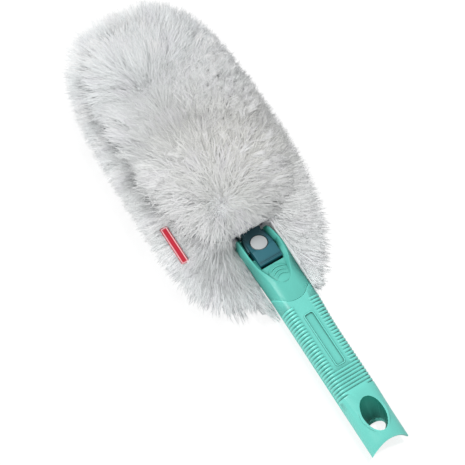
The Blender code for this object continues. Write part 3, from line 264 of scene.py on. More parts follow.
@dataclass(frozen=True)
class MouldedPlastic:
    """Satin injection-moulded plastic with a fine grain."""

    name: str
    colour: Colour
    roughness: float = 0.36
    grain: float = 1600.0
    grain_strength: float = 0.12
    mottle: float = 0.03
    specular: float = 0.45
    # Painted shade: ambient occlusion darkens the colour in hollows and in crevices such as the ribs' valleys
    hollow_shade: float = 0.22
    hollow_reach: float = 0.016
    hollow_start: float = 0.2
    crevice_shade: float = 0.42
    crevice_reach: float = 0.0016
    crevice_start: float = 0.4
    open_end: float = 0.94
    shade_tint: Colour = (0.6, 1.0, 0.96)
    # Painted shade on the walls that their attribute picks out, where the specular is also dulled
    wall_shade: float = 0.0
    wall_shade_tint: Colour = (0.3, 1.0, 0.86)
    wall_specular: float = 0.06
    # Painted light and shade on the ribs, from their attribute
    painted_rib_contrast: float = 0.0
    # Painted highlights: convex edges are lightened, found by ambient occlusion inside the piece
    edge_light: float = 1.22
    edge_reach: float = 0.0009
    edge_span: Span = (0.45, 0.95)
    # Painted shadow: the colour darkens towards the piece's front, between these places along X in metres
    front_shade: float = 1.0
    front_places: Span = (0.015, 0.028)
    flow_scale: float = 45.0
    flow_stretch: Point = (0.4, 1.0, 1.0)
    gloss_scale: float = 220.0
    gloss_spread: Span = (0.05, 0.07)
    grain_depth: float = 0.00012

    def shaded(self, bench: NodeBench, colour: Socket) -> Socket:
        """Paints light and shade into the colour: painted shade in hollows, in crevices, on marked walls and
        towards the piece's front, painted highlights on convex edges, and painted light and shade on the
        ribs.

        Args:
            bench: The material's node bench.
            colour: The colour's socket.

        Returns:
            The deepened colour's socket.
        """
        shades = []
        depths = (
            (self.hollow_reach, self.hollow_shade, self.hollow_start),
            (self.crevice_reach, self.crevice_shade, self.crevice_start),
        )
        # Painted shade in hollows and crevices
        for reach, level, start in depths:
            hollow = bench.add("AmbientOcclusion", {"Distance": reach}, samples=8, only_local=True)
            shade = tinted(self.shade_tint, level)
            shades.append(bench.ramp(hollow.outputs["AO"], shade, WHITE, start, self.open_end))
        # Painted shadow towards the piece's front
        if self.front_shade < 1.0:
            split = bench.add("SeparateXYZ")
            bench.join(bench.add("TexCoord").outputs["Object"], split.inputs["Vector"])
            start, end = self.front_places
            place = bench.add("MapRange", {"From Min": start, "From Max": end})
            bench.join(split.outputs["X"], place.inputs["Value"])
            shades.append(bench.ramp(place.outputs["Result"], (self.front_shade,) * 3, WHITE, 0.0, 1.0))
        # Painted highlights on convex edges
        edge = bench.add(
            "AmbientOcclusion", {"Distance": self.edge_reach}, samples=6, only_local=True, inside=True
        )
        shades.append(bench.ramp(edge.outputs["AO"], (self.edge_light,) * 3, WHITE, *self.edge_span))
        # Painted shade on the walls
        if self.wall_shade > 0.0:
            wall = bench.add("Attribute", attribute_name="painted_wall_shade")
            shade = tinted(self.wall_shade_tint, self.wall_shade)
            shades.append(bench.ramp(wall.outputs["Fac"], WHITE, shade, 0.0, 1.0))
        # Painted light and shade on the ribs
        if self.painted_rib_contrast > 0.0:
            rib = bench.add("Attribute", attribute_name="rib_light")
            low, high = (1.0 - self.painted_rib_contrast,) * 3, (1.0 + self.painted_rib_contrast,) * 3
            shades.append(bench.ramp(rib.outputs["Fac"], low, high, 0.0, 1.0))
        for shade in shades:
            colour = bench.multiply(colour, shade)
        return colour

    def build(self) -> bpy.types.Material:
        """Makes the material.

        Returns:
            The plastic, with painted shade in its hollows and crevices, painted highlights on its edges and
            any other painted light and shade that it is set for, grain, faint flow marks and a varied gloss.
        """
        bench = NodeBench(self.name)
        shader = bench.add("BsdfPrincipled", {"Specular IOR Level": self.specular})
        flow = bench.noise(self.flow_scale, 2.0, self.flow_stretch)
        low, high = tinted(self.colour, 1.0 - self.mottle), tinted(self.colour, 1.0 + self.mottle)
        bench.join(self.shaded(bench, bench.ramp(flow, low, high)), shader.inputs["Base Color"])
        less, more = self.gloss_spread
        gloss = bench.span(bench.noise(self.gloss_scale, 4.0), self.roughness - less, self.roughness + more)
        bench.join(gloss, shader.inputs["Roughness"])
        # The painted wall shade also dulls the specular
        if self.wall_shade > 0.0:
            wall = bench.add("Attribute", attribute_name="painted_wall_shade")
            sheen = bench.span(wall.outputs["Fac"], self.specular, self.wall_specular)
            bench.join(sheen, shader.inputs["Specular IOR Level"])
        grain = bench.noise(self.grain, 2.0)
        bench.join(bench.bump(grain, self.grain_strength, self.grain_depth), shader.inputs["Normal"])
        return bench.finish(shader.outputs["BSDF"])


@dataclass(frozen=True)
class PlatedSteel:
    """Zinc-plated steel of small screws and the spring."""

    name: str = "plated_steel"
    dark: Colour = (0.42, 0.43, 0.45)
    light: Colour = (0.6, 0.61, 0.62)
    scratch_scale: float = 900.0
    scratch_stretch: Point = (1.0, 6.0, 1.0)
    roughness: Span = (0.25, 0.45)

    def build(self) -> bpy.types.Material:
        """Makes the material.

        Returns:
            A grey metal with fine scratches.
        """
        bench = NodeBench(self.name)
        shader = bench.add("BsdfPrincipled", {"Metallic": 1.0})
        scratch = bench.noise(self.scratch_scale, 4.0, self.scratch_stretch)
        bench.join(bench.ramp(scratch, self.dark, self.light), shader.inputs["Base Color"])
        bench.join(bench.span(scratch, *self.roughness), shader.inputs["Roughness"])
        return bench.finish(shader.outputs["BSDF"])


@dataclass(frozen=True)
class PileYarn:
    """Soft white microfibre pile, tinted point by point, with painted light and shade in its tint."""

    name: str = "pile_yarn"
    # The attribute holds each strand's colour with its painted light and shade
    attribute: str = "pile_tint_and_painted_light"
    normal_attribute: str = "pile_normal"
    clearness: float = 0.35
    softness: float = 0.5
    shadow_thinness: float = 0.92
    roughness: float = 0.75
    specular: float = 0.2
    streak_scale: float = 700.0
    streak: Colour = (0.955, 0.955, 0.955)

    def build(self) -> bpy.types.Material:
        """Makes the material.

        Returns:
            A matt fibre whose colour, with its painted light and shade, comes from the pile's own attribute,
            with a fine streak on it.
        """
        bench = NodeBench(self.name)
        surface = {"Roughness": self.roughness, "Specular IOR Level": self.specular}
        shader = bench.add("BsdfPrincipled", surface)
        tint_and_painted_light = bench.add("Attribute", attribute_name=self.attribute)
        bench.join(self.soft_normal(bench), shader.inputs["Normal"])
        streak = bench.ramp(bench.noise(self.streak_scale, 2.0), self.streak, WHITE)
        colour = bench.multiply(tint_and_painted_light.outputs["Color"], streak)
        bench.join(colour, shader.inputs["Base Color"])
        through = bench.add("BsdfTranslucent")
        bench.join(colour, through.inputs["Color"])
        both = bench.feed("MixShader", self.clearness, shader.outputs["BSDF"], through.outputs["BSDF"])
        path = bench.add("LightPath")
        light_rays = (path.outputs["Is Shadow Ray"], path.outputs["Is Diffuse Ray"])
        lighting = bench.feed("Math", *light_rays, operation="MAXIMUM")
        thin = bench.feed("Math", lighting, self.shadow_thinness, operation="MULTIPLY")
        return bench.finish(bench.feed("MixShader", thin, both, bench.feed("BsdfTransparent")))

    def soft_normal(self, bench: NodeBench) -> Socket:
        """Leans a strand's own normal towards the pile's, as fine fibres scatter light.

        Args:
            bench: The material's node bench.

        Returns:
            The normal's socket.
        """
        pile = bench.add("Attribute", attribute_name=self.normal_attribute)
        turned = bench.add("VectorTransform", vector_type="NORMAL", convert_from="OBJECT", convert_to="WORLD")
        bench.join(pile.outputs["Vector"], turned.inputs["Vector"])
        own = bench.add("NewGeometry")
        mixed = bench.add("Mix", data_type="VECTOR")
        mixed.inputs["Factor"].default_value = self.softness
        bench.join(own.outputs["Normal"], mixed.inputs[4])
        bench.join(turned.outputs["Vector"], mixed.inputs[5])
        straight = bench.add("VectorMath", operation="NORMALIZE")
        bench.join(mixed.outputs[1], straight.inputs[0])
        return straight.outputs["Vector"]


@dataclass(frozen=True)
class KnittedCloth:
    """A knitted or woven cloth with visible threads."""

    name: str
    colour: Colour
    threads: float = 900.0
    depth: float = 0.0002
    fuzz: float = 0.4
    roughness: float = 0.9
    specular: float = 0.2
    wander: float = 1.5
    thread_shades: Span = (0.82, 1.05)
    thread_span: Span = (0.05, 0.6)
    relief: float = 0.5

    def build(self) -> bpy.types.Material:
        """Makes the material.

        Returns:
            A matt cloth with crossing threads and a fuzzy surface.
        """
        bench = NodeBench(self.name)
        surface = {
            "Roughness": self.roughness, "Specular IOR Level": self.specular, "Sheen Weight": self.fuzz
        }
        shader = bench.add("BsdfPrincipled", surface)
        place = bench.add("TexCoord")
        values = {"Scale": self.threads / ROUND_TURN, "Distortion": self.wander, "Detail": 1.0}
        heights = []
        for direction in ("X", "Y"):
            wave = bench.add("TexWave", values, bands_direction=direction)
            bench.join(place.outputs["Object"], wave.inputs["Vector"])
            heights.append(wave.outputs["Fac"])
        weave = bench.feed("Math", *heights, operation="MULTIPLY")
        low, high = (tinted(self.colour, factor) for factor in self.thread_shades)
        bench.join(bench.ramp(weave, low, high, *self.thread_span), shader.inputs["Base Color"])
        bench.join(bench.bump(weave, self.relief, self.depth), shader.inputs["Normal"])
        return bench.finish(shader.outputs["BSDF"])


@dataclass(frozen=True)
class WovenTag:
    """A red woven tag with a thin white line along its border."""

    centre: Spot
    half: Spot
    name: str = "red_woven_tag"
    red: Colour = (0.47, 0.022, 0.042)
    line: Colour = (0.78, 0.70, 0.71)
    line_inset: float = 0.00065
    line_width: float = 0.00045
    threads: float = 2600.0
    wander: float = 0.6
    dark_thread: float = 0.72
    thread_span: Span = (0.1, 0.6)
    relief: float = 0.4
    depth: float = 0.00008
    roughness: float = 0.8
    specular: float = 0.2
    fuzz: float = 0.1

    @classmethod
    def of(cls, node: str) -> "WovenTag":
        """The finish for a CAD label, with its place and size.

        Args:
            node: The label's node.

        Returns:
            The finish.
        """
        low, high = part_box(node)
        centre = ((low[0] + high[0]) / 2, (low[1] + high[1]) / 2)
        return cls(centre, ((high[0] - low[0]) / 2, (high[1] - low[1]) / 2))

    def inset(self, bench: NodeBench, place: Socket, number: int) -> Socket:
        """Distance in from the border along one axis.

        Args:
            bench: The material's node bench.
            place: The split coordinate's socket.
            number: 0 along the label and 1 across it.

        Returns:
            The distance's socket, in metres.
        """
        moved = bench.feed("Math", place, self.centre[number], operation="SUBTRACT")
        size = bench.feed("Math", moved, operation="ABSOLUTE")
        return bench.feed("Math", self.half[number], size, operation="SUBTRACT")

    def build(self) -> bpy.types.Material:
        """Makes the material.

        Returns:
            A red weave with the border line and fine crossing threads.
        """
        bench = NodeBench(self.name)
        surface = {
            "Roughness": self.roughness, "Specular IOR Level": self.specular, "Sheen Weight": self.fuzz
        }
        shader = bench.add("BsdfPrincipled", surface)
        place = bench.add("TexCoord").outputs["Object"]
        split = bench.add("SeparateXYZ")
        bench.join(place, split.inputs["Vector"])
        insets = [self.inset(bench, split.outputs[axis], number) for number, axis in enumerate("XY")]
        nearest = bench.feed("Math", *insets, operation="MINIMUM")
        half_line = self.line_width / 2
        line = bench.feed("Math", nearest, self.line_inset + half_line, half_line, operation="COMPARE")
        values = {"Scale": self.threads / math.tau, "Distortion": self.wander}
        wave = bench.add("TexWave", values, bands_direction="X")
        bench.join(place, wave.inputs["Vector"])
        dark = tinted(self.red, self.dark_thread)
        weave = bench.ramp(wave.outputs["Fac"], dark, self.red, *self.thread_span)
        blend = bench.add("Mix", data_type="RGBA")
        blend.inputs["B"].default_value = (*self.line, 1.0)
        bench.join(line, blend.inputs["Factor"])
        bench.join(weave, blend.inputs["A"])
        bench.join(blend.outputs["Result"], shader.inputs["Base Color"])
        bench.join(bench.bump(wave.outputs["Fac"], self.relief, self.depth), shader.inputs["Normal"])
        return bench.finish(shader.outputs["BSDF"])


@dataclass(frozen=True)
class StudioFloor:
    """White paper floor that shows white, with a faint shadow and sheen."""

    name: str = "studio_floor"
    shadow_share: float = 0.06
    sheen_share: float = 0.12
    sheen_roughness: float = 0.08
    glow: float = 1.04
    paper_shade: float = 0.8

    def build(self) -> bpy.types.Material:
        """Makes the material.

        Returns:
            For the camera a white glow with a little shadow and sheen, and white paper for all other rays.
        """
        bench = NodeBench(self.name)
        white = (*WHITE, 1.0)
        paper = bench.feed("BsdfDiffuse", (*(self.paper_shade,) * 3, 1.0))
        bright = bench.feed("BsdfDiffuse", white)
        sheen = bench.add("BsdfGlossy", {"Color": white, "Roughness": self.sheen_roughness}).outputs["BSDF"]
        glow = bench.feed("Emission", white, self.glow)
        both_shares = self.sheen_share + self.shadow_share
        under = bench.feed("MixShader", self.sheen_share / both_shares, bright, sheen)
        seen = bench.feed("MixShader", both_shares, glow, under)
        from_camera = bench.add("LightPath").outputs["Is Camera Ray"]
        return bench.finish(bench.feed("MixShader", from_camera, paper, seen))


# Modelling helpers


def select_only(*chosen: Piece) -> None:
    """Selects these objects and nothing else, the first one active.

    Args:
        chosen: The objects.
    """
    bpy.ops.object.select_all(action="DESELECT")
    for piece in chosen:
        piece.select_set(True)
    bpy.context.view_layer.objects.active = chosen[0]


def dress(piece: Piece, material: bpy.types.Material, body: Body) -> Piece:
    """Gives a piece its finish and the body that it rides on.

    Args:
        piece: The piece.
        material: Its material.
        body: The body that it moves with.

    Returns:
        The same piece.
    """
    piece.data.materials.clear()
    piece.data.materials.append(material)
    if "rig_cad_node" not in piece:
        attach(piece, body.value)
    return piece


def merged_copy(node: str, name: str) -> Piece:
    """Copies a CAD node and joins its loose triangles.

    Args:
        node: The CAD node's name.
        name: The copy's name.

    Returns:
        The copy, at the origin and riding on nothing yet.
    """
    source = frame["nodes"][node]
    copy = bpy.data.objects.new(name, source.data.copy())
    bpy.context.scene.collection.objects.link(copy)
    select_only(copy)
    bpy.ops.object.mode_set(mode="EDIT")
    bpy.ops.mesh.select_all(action="SELECT")
    bpy.ops.mesh.customdata_custom_splitnormals_clear()
    bpy.ops.mesh.remove_doubles(threshold=0.000004)
    bpy.ops.object.mode_set(mode="OBJECT")
    return copy


def soften(piece: Piece, width: float, crease: float, flat: float = 0.8) -> None:
    """Joins flat triangles, rounds the sharp edges and shades the rest smoothly.

    Args:
        piece: The piece.
        width: The rounding's width in metres.
        crease: The edge angle in degrees past which an edge is sharp.
        flat: The angle in degrees under which triangles join into one face.
    """
    select_only(piece)
    bpy.ops.object.mode_set(mode="EDIT")
    bpy.ops.mesh.select_all(action="SELECT")
    bpy.ops.mesh.dissolve_limited(angle_limit=math.radians(flat))
    bpy.ops.object.mode_set(mode="OBJECT")
    if width > 0.0:
        edge = piece.modifiers.new("rounded_edges", "BEVEL")
        edge.width = width
        edge.segments = 2
        edge.limit_method = "ANGLE"
        edge.angle_limit = math.radians(crease)
        edge.use_clamp_overlap = True
        bpy.ops.object.modifier_apply(modifier=edge.name)
    bpy.ops.object.shade_smooth_by_angle(angle=math.radians(crease))


def vectors(source: bpy.types.bpy_prop_collection, key: str) -> Array:
    """Reads a vector of each vertex or face of a mesh.

    Args:
        source: The mesh's vertices or faces.
        key: The vector's name.

    Returns:
        One row for each.
    """
    table = np.zeros(len(source) * 3)
    source.foreach_get(key, table)
    return table.reshape(-1, 3)


def move_points(piece: Piece, rule: Callable[[Array], Array]) -> None:
    """Moves a piece's points by a rule.

    Args:
        piece: The piece.
        rule: Takes the points in millimetres and gives the moved points.
    """
    moved = rule(vectors(piece.data.vertices, "co") / MM)
    piece.data.vertices.foreach_set("co", (moved * MM).reshape(-1))
    piece.data.update()


def corner_table(piece: Piece) -> tuple[Array, Array, Array]:
    """Place of each face corner, with its face's middle and normal.

    Args:
        piece: The piece.

    Returns:
        Places and middles in millimetres, and normals.
    """
    mesh = piece.data
    owners = np.zeros(len(mesh.loops), dtype=np.int32)
    mesh.loops.foreach_get("vertex_index", owners)
    totals = np.zeros(len(mesh.polygons), dtype=np.int32)
    mesh.polygons.foreach_get("loop_total", totals)
    faces = np.repeat(np.arange(len(totals)), totals)
    places = vectors(mesh.vertices, "co")[owners] / MM
    middles = vectors(mesh.polygons, "center")[faces] / MM
    return places, middles, vectors(mesh.polygons, "normal")[faces]


# Grip and adapter


@dataclass
class Grip:
    """The plastic grip: socket, ribbed upper shell, belly shell and screws."""

    # The finishes paint shade on the walls of the trough and of the hanging hole
    mint: MouldedPlastic = MouldedPlastic("mint_plastic_finish", (0.097, 0.440, 0.374), wall_shade=0.24)
    # The shells' finish also paints light and shade on the ribs
    pale_mint: MouldedPlastic = MouldedPlastic(
        "mint_shell_finish", (0.128, 0.520, 0.450), crevice_shade=0.25, wall_shade=0.34, painted_rib_contrast=0.3
    )
    edge_width: float = 0.00025
    socket_edge_width: float = 0.0005
    crease: float = 24.0
    # The trough in millimetres: its walls' foot, where it is drawn in to, how its points are found, and where
    # its walls get painted shade
    trough_foot: float = 13.44
    slanted_foot: float = 11.2
    foot_slack: float = 0.25
    foot_heights: Span = (12.0, 15.0)
    foot_end: float = 27.0
    trough_end: float = 37.0
    trough_half_width: float = 14.9
    trough_low: float = 9.5
    cheek_top: float = 18.0
    cheek_fade: float = 4.5
    # How far the sides are filled out, and the start and run along the duster of each change
    side_fill: float = 0.8
    right_fill: float = 2.2
    right_rise: Span = (4.0, 10.0)
    right_fall: Span = (70.0, 45.0)
    left_fill: float = 1.0
    left_fall: Span = (22.0, 16.0)
    waist_draw: float = 0.9
    waist: Spot = (58.0, 0.0)
    waist_reach: float = 26.0
    # Where a side's outer skin starts and its run, on the cheeks, and what the shells add to both
    cheek_to_shell: Span = (40.0, 40.0)
    cheek_skin: Span = (15.1, 0.7)
    shell_gain: Span = (5.1, 4.3)
    # The ribs along both sides of the upper shell, where their painted light and shade falls
    rib_start: float = 81.35
    rib_pitch: float = 2.95
    rib_run: float = 85.55
    rib_full_run: float = 61.4
    rib_slack: float = 0.1
    rib_low: float = 7.0
    rib_inner: float = 7.9
    rib_end_bow: float = 5.0
    bow_half_width: float = 16.0
    # Shares of the pitch over which a rib rises and falls
    rib_rise_share: float = 0.2
    rib_fall_share: float = 0.44
    # Painted light of a rib's crest, of plain skin and of the line along the ribs' inner part
    rib_light: float = 0.65
    plain_light: float = 0.5
    ridge_light: float = 0.35
    ridge_place: float = 10.6
    ridge_width: float = 0.8
    # What counts as a wall of the hole or the trough, and how much painted shade the hole's walls get by
    # height
    hole_slack: float = 1.06
    steep: float = 0.85
    inward_lean: float = 0.25
    hole_wall_shades: Span = (0.55, 0.45)
    hole_fade: Span = (5.0, 13.0)
    # Height, centre along the duster, half length and half width of the hanging hole
    hole_low: tuple[float, float, float, float] = (4.0, 196.35, 5.4, 8.2)
    hole_high: tuple[float, float, float, float] = (22.2, 187.15, 14.6, 9.6)

    def build(self) -> list[Piece]:
        """Builds and dresses the grip's pieces.

        Returns:
            The pieces.
        """
        mint = self.mint.build()
        pale = self.pale_mint.build()
        steel = PlatedSteel("screw_steel").build()
        pieces = []
        for node, material in (("socket_body", mint), ("grip_upper_shell", pale), ("grip_lower_shell", pale)):
            piece = merged_copy(node, node + "_skin")
            if node == "socket_body":
                move_points(piece, self.slant_walls)
            move_points(piece, self.fill_out)
            soften(piece, self.socket_edge_width if node == "socket_body" else self.edge_width, self.crease)
            self.paint_wall_shade(piece)
            self.paint_rib_light(piece, node == "grip_upper_shell")
            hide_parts(node)
            pieces.append(dress(piece, material, Body.GRIP))
        for node in ("grip_screw_front", "grip_screw_rear"):
            pieces.append(dress(frame["nodes"][node], steel, Body.GRIP))
        return pieces

    def slant_walls(self, points: Array) -> Array:
        """Draws in the foot of the trough's walls, so that they lean outwards.

        Args:
            points: The socket's points, in millimetres.

        Returns:
            The moved points.
        """
        x, y, z = points.T
        low, high = self.foot_heights
        beside = np.abs(np.abs(y) - self.trough_foot) < self.foot_slack
        foot = beside & (x < self.foot_end) & (z > low) & (z < high)
        y[foot] = np.sign(y[foot]) * self.slanted_foot
        return points

    def fill_out(self, points: Array) -> Array:
        """Fills the grip's sides out to the photographed outline, most on the right cheek.

        Args:
            points: Points of a grip piece, in millimetres.

        Returns:
            The moved points.
        """
        x, y, _ = points.T
        blend = soft_step(x, self.cheek_to_shell)
        start, run = self.cheek_skin
        wider, longer = self.shell_gain
        outer = smooth((np.abs(y) - start + wider * blend) / (run + longer * blend))
        bulge = self.right_fill * soft_step(x, self.right_rise) * (1.0 - soft_step(x, self.right_fall))
        right = self.side_fill + bulge
        left = self.side_fill + self.left_fill * (1.0 - soft_step(x, self.left_fall))
        left = left - self.waist_draw * near(x, 0.0 * x, self.waist, self.waist_reach)
        y += outer * np.where(y > 0, right, -left)
        return points

    def paint_rib_light(self, piece: Piece, ribbed: bool) -> None:
        """Stores the ribs' painted light and shade: lighter on the crests and on a line along their inner
        part, darker in the valleys.

        Args:
            piece: A skin of the grip.
            ribbed: Whether the piece has the ribs.
        """
        spots = corner_table(piece)[0]
        x, y = spots[:, 0] - self.rib_start, np.abs(spots[:, 1])
        phase = np.mod(x, self.rib_pitch) / self.rib_pitch
        rise, fall = phase / self.rib_rise_share, (1.0 - phase) / self.rib_fall_share
        crest = np.minimum(np.clip(rise, 0.0, 1.0), np.clip(fall, 0.0, 1.0))
        end = self.rib_run - self.rib_end_bow * (1.0 - np.minimum(y / self.bow_half_width, 1.0) ** 2)
        across = (y > self.rib_inner) | (x > self.rib_full_run)
        on_ribs = (x > -self.rib_slack) & (x < end) & across & (spots[:, 2] > self.rib_low)
        ridge = self.ridge_light * np.exp(-(((y - self.ridge_place) / self.ridge_width) ** 2))
        # Painted light on the crests and the inner line, painted shade in the valleys, even on plain skin
        value = np.where(on_ribs & ribbed, crest * (self.rib_light + ridge), self.plain_light)
        layer = piece.data.attributes.new("rib_light", "FLOAT", "CORNER")
        layer.data.foreach_set("value", value)

    def paint_wall_shade(self, piece: Piece) -> None:
        """Stores the painted shade on the walls of the hanging hole and of the trough.

        Args:
            piece: A skin of the grip.
        """
        spots, middles, normals = corner_table(piece)
        share = (middles[:, 2] - self.hole_low[0]) / (self.hole_high[0] - self.hole_low[0])
        centre, half_length, half_width = (
            low + (high - low) * share for low, high in zip(self.hole_low[1:], self.hole_high[1:])
        )
        x, y, z = middles.T
        hole = np.hypot((x - centre) / half_length, y / half_width) < self.hole_slack
        hole = hole & (np.abs(normals[:, 2]) < self.steep)
        inward = -normals[:, 1] * np.sign(y) > self.inward_lean
        trough = inward & (x < self.trough_end) & (np.abs(y) < self.trough_half_width) & (z > self.trough_low)
        # Painted shade: darker lower down the trough's walls, and darker higher up the hole's walls
        depth = np.where(trough, smooth((self.cheek_top - spots[:, 2]) / self.cheek_fade), 0.0)
        least, more = self.hole_wall_shades
        depth = np.where(hole, least + more * soft_step(spots[:, 2], self.hole_fade), depth)
        layer = piece.data.attributes.new("painted_wall_shade", "FLOAT", "CORNER")
        layer.data.foreach_set("value", depth)


@dataclass
class Adapter:
    """The petrol block with its button, latch, spring, jaws and screws."""

    # The petrol block gets painted shadow towards its front and no painted edge highlights
    petrol: MouldedPlastic = MouldedPlastic(
        "petrol_plastic_finish", (0.011, 0.104, 0.134), 0.42, 1900.0, 0.2, edge_light=1.0, front_shade=0.3
    )
    button: MouldedPlastic = MouldedPlastic("button_plastic_finish", (0.37, 0.385, 0.39), 0.5, 1500.0, 0.25)
    white: MouldedPlastic = MouldedPlastic("natural_white_plastic", (0.70, 0.71, 0.70), 0.45)
    edge_width: float = 0.00022
    crease: float = 24.0
    # The wings in millimetres: their half widths, where they widen, where they lie, and how they are lowered
    wing_half_width: float = 11.9
    front_half_width: float = 10.0
    wing_taper: Span = (13.0, 9.0)
    wing_start: float = 8.0
    wing_end: float = 26.0
    wing_top: float = 14.0
    lowered_past: float = 11.0
    wing_drop: float = 0.9

    def build(self) -> list[Piece]:
        """Builds and dresses the adapter's pieces.

        Returns:
            The pieces.
        """
        petrol = self.petrol.build()
        steel = PlatedSteel("spring_steel").build()
        pieces = []
        block = merged_copy("adapter_block", "adapter_block_skin")
        move_points(block, self.trim_wings)
        soften(block, self.edge_width, self.crease)
        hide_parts("adapter_block")
        pieces.append(dress(block, petrol, Body.HEAD))
        cap = merged_copy("release_button", "release_button_skin")
        soften(cap, 0.0, self.crease)
        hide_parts("release_button")
        pieces.append(dress(cap, self.button.build(), Body.BUTTON))
        pieces.append(dress(frame["nodes"]["adapter_base"], petrol, Body.HEAD))
        pieces.append(dress(frame["nodes"]["latch_bar"], self.white.build(), Body.BUTTON))
        for node in ("button_spring", "clamp_screw_left", "clamp_screw_right"):
            pieces.append(dress(frame["nodes"][node], steel, Body.HEAD))
        return pieces

    def trim_wings(self, points: Array) -> Array:
        """Narrows the block's wings, so that the cheeks' inner walls show.

        Args:
            points: The block's points, in millimetres.

        Returns:
            The moved points.
        """
        x, y, z = points.T
        wider = self.wing_half_width - self.front_half_width
        limit = self.front_half_width + wider * soft_step(x, self.wing_taper)
        wing = (np.abs(y) > limit) & (x > self.wing_start) & (x < self.wing_end)
        y[wing] = np.sign(y[wing]) * limit[wing]
        top = wing & (z > self.wing_top) & (limit > self.lowered_past)
        z[top] -= self.wing_drop
        return points


# Cover


@dataclass
class HeadShape:
    """The fluff's plan shape and the two whorls of its pile, in millimetres in the part's frame."""

    centre_x: float = -66.4
    half_length: float = 147.5
    left_half_width: float = 77.0
    right_half_width: float = 73.2
    left_widening: float = 0.028
    front_power: float = 3.1
    rear_left_power: float = 4.0
    rear_right_power: float = 2.35
    tip_whorl: Spot = (-124.0, -14.0)
    rear_whorl: Spot = (-15.0, -13.0)
    mess_centre: Spot = (-98.0, 36.0)
    mess_radius: float = 32.0
    read_height: float = 15.0
    slant: float = 0.268
    row_pitch: float = 21.0
    row_squash_share: float = 0.9
    rows_start: Span = (12.0, 16.0)
    rows_end: float = 104.0
    rows_fade: float = 22.0
    tip_shift: float = 22.0
    tip_run: float = 46.0
    # The bed beside the grip: its half widths, and how high the pile may stand in it
    grip_half_width: float = 16.8
    right_half_width_beside: float = 18.6
    right_lean_share: float = 0.5
    side_line: float = 9.0
    hollow_low: float = 9.0
    hollow_slope: float = 0.75
    hollow_start: Span = (6.0, 10.0)
    hollow_level_shares: Span = (0.62, 0.45)
    least_top: float = 3.0
    open_height: float = 60.0
    grip_front: float = 10.5
    label_slack: float = 1.5
    label_low: Spot = (-25.2, -66.9)
    label_high: Spot = (10.1, -59.5)
    label_top: float = 29.6
    # The height past which strands stand shorter, the share of it that they keep, and the gap to the floor
    crest: float = 48.0
    crest_give: float = 0.6
    floor_gap: float = 0.5
    # Where strands end, as shares of the outline: the middle and the spread, and the most
    end_reach_shares: Span = (0.965, 0.038)
    most_reach_share: float = 1.03

    def reach(self, x: Array, y: Array) -> Array:
        """How far out points lie in the fluff's oval.

        Args:
            x: Places along the duster.
            y: Places across it.

        Returns:
            0 at the middle and 1 on the outline.
        """
        left = self.left_half_width + self.left_widening * (x - self.centre_x)
        along = np.abs((x - self.centre_x) / self.half_length)
        across = np.abs(y) / np.where(y < 0, left, self.right_half_width)
        rear = np.where(y < 0, self.rear_left_power, self.rear_right_power)
        power = np.where(x < self.centre_x, self.front_power, rear)
        return (along**power + across**power) ** (1.0 / power)

    def reach_at(self, points: Array) -> Array:
        """How far out points in space lie, where the outline leans with its height.

        Args:
            points: Points in space.

        Returns:
            0 at the middle and 1 on the leaning outline.
        """
        shift = self.slant * (points[:, 2] - self.read_height)
        return self.reach(points[:, 0] - shift, points[:, 1] + shift)

    def over_label(self, points: Array) -> Array:
        """Which strands pass over the side label, which lies open.

        Args:
            points: Points by strand, station and axis.

        Returns:
            True for each strand that hides the label from above and from the label's side.
        """
        rise = points[:, :, 2] - self.label_top
        x = points[:, :, 0] - self.slant * rise
        y = points[:, :, 1] + self.slant * rise
        along = (x > self.label_low[0]) & (x < self.label_high[0])
        across = (y > self.label_low[1]) & (y < self.label_high[1])
        return np.any((rise > -self.label_slack) & along & across, axis=1)

    def grip_sides(self, z: Array) -> tuple[Array, Array]:
        """Where the pile ends beside the grip: it leans away on the left, where the grip's side shows.

        Args:
            z: Heights.

        Returns:
            The left and the right end at each height.
        """
        rise = np.maximum(z - self.side_line, 0.0)
        left = -self.grip_half_width - self.slant * rise
        return left, self.right_half_width_beside - self.right_lean_share * self.slant * rise

    def hollow_top(self, x: Array, y: Array) -> Array:
        """How high the pile may stand: it lies low at the grip's left, where the grip's side shows.

        Args:
            x: Places along the duster.
            y: Places across it.

        Returns:
            The greatest height at each place.
        """
        rise = self.hollow_low + self.hollow_slope * np.maximum(-y - self.grip_half_width, 0.0)
        beside = soft_step(x, self.hollow_start) * (y < 0)
        return rise * beside + self.open_height * (1.0 - beside)

    def outward(self, x: Array, y: Array) -> Array:
        """Finds the way out of the head.

        Args:
            x: Places along the duster.
            y: Places across it.

        Returns:
            Unit directions in plan, square to the oval through each point.
        """
        step = 0.5
        slope_x = self.reach(x + step, y) - self.reach(x - step, y)
        slope_y = self.reach(x, y + step) - self.reach(x, y - step)
        return unit(np.stack([slope_x, slope_y], 1))

    def rows(self, x: Array, y: Array) -> Array:
        """Waves of the tufts' rows round the rear whorl.

        Args:
            x: Places along the duster.
            y: Places across it.

        Returns:
            1 on a row's crest and -1 between rows, less near the whorl and far from it.
        """
        gap = np.hypot(x - self.rear_whorl[0], (y - self.rear_whorl[1]) * self.row_squash_share)
        wobble = 3.5 * np.sin(x * 0.13 + 1.0) + 3.0 * np.sin(y * 0.16 - x * 0.05)
        wobble = wobble + 1.6 * np.sin(x * 0.37 + y * 0.29)
        share = soft_step(gap, self.rows_start) * smooth((self.rows_end - gap) / self.rows_fade)
        return np.sin(math.tau * (gap + wobble) / self.row_pitch) * share

    def swirl(self, x: Array, y: Array) -> Array:
        """Slow waves in the combing's direction.

        Args:
            x: Places along the duster.
            y: Places across it.

        Returns:
            Turns in radians.
        """
        first = np.sin(x * 0.19 + 1.3 * np.sin(y * 0.11)) * np.cos(y * 0.17 + 0.6)
        second = np.sin(x * 0.41 - y * 0.33 + 2.1) * 0.6
        return 0.22 * (first + second)

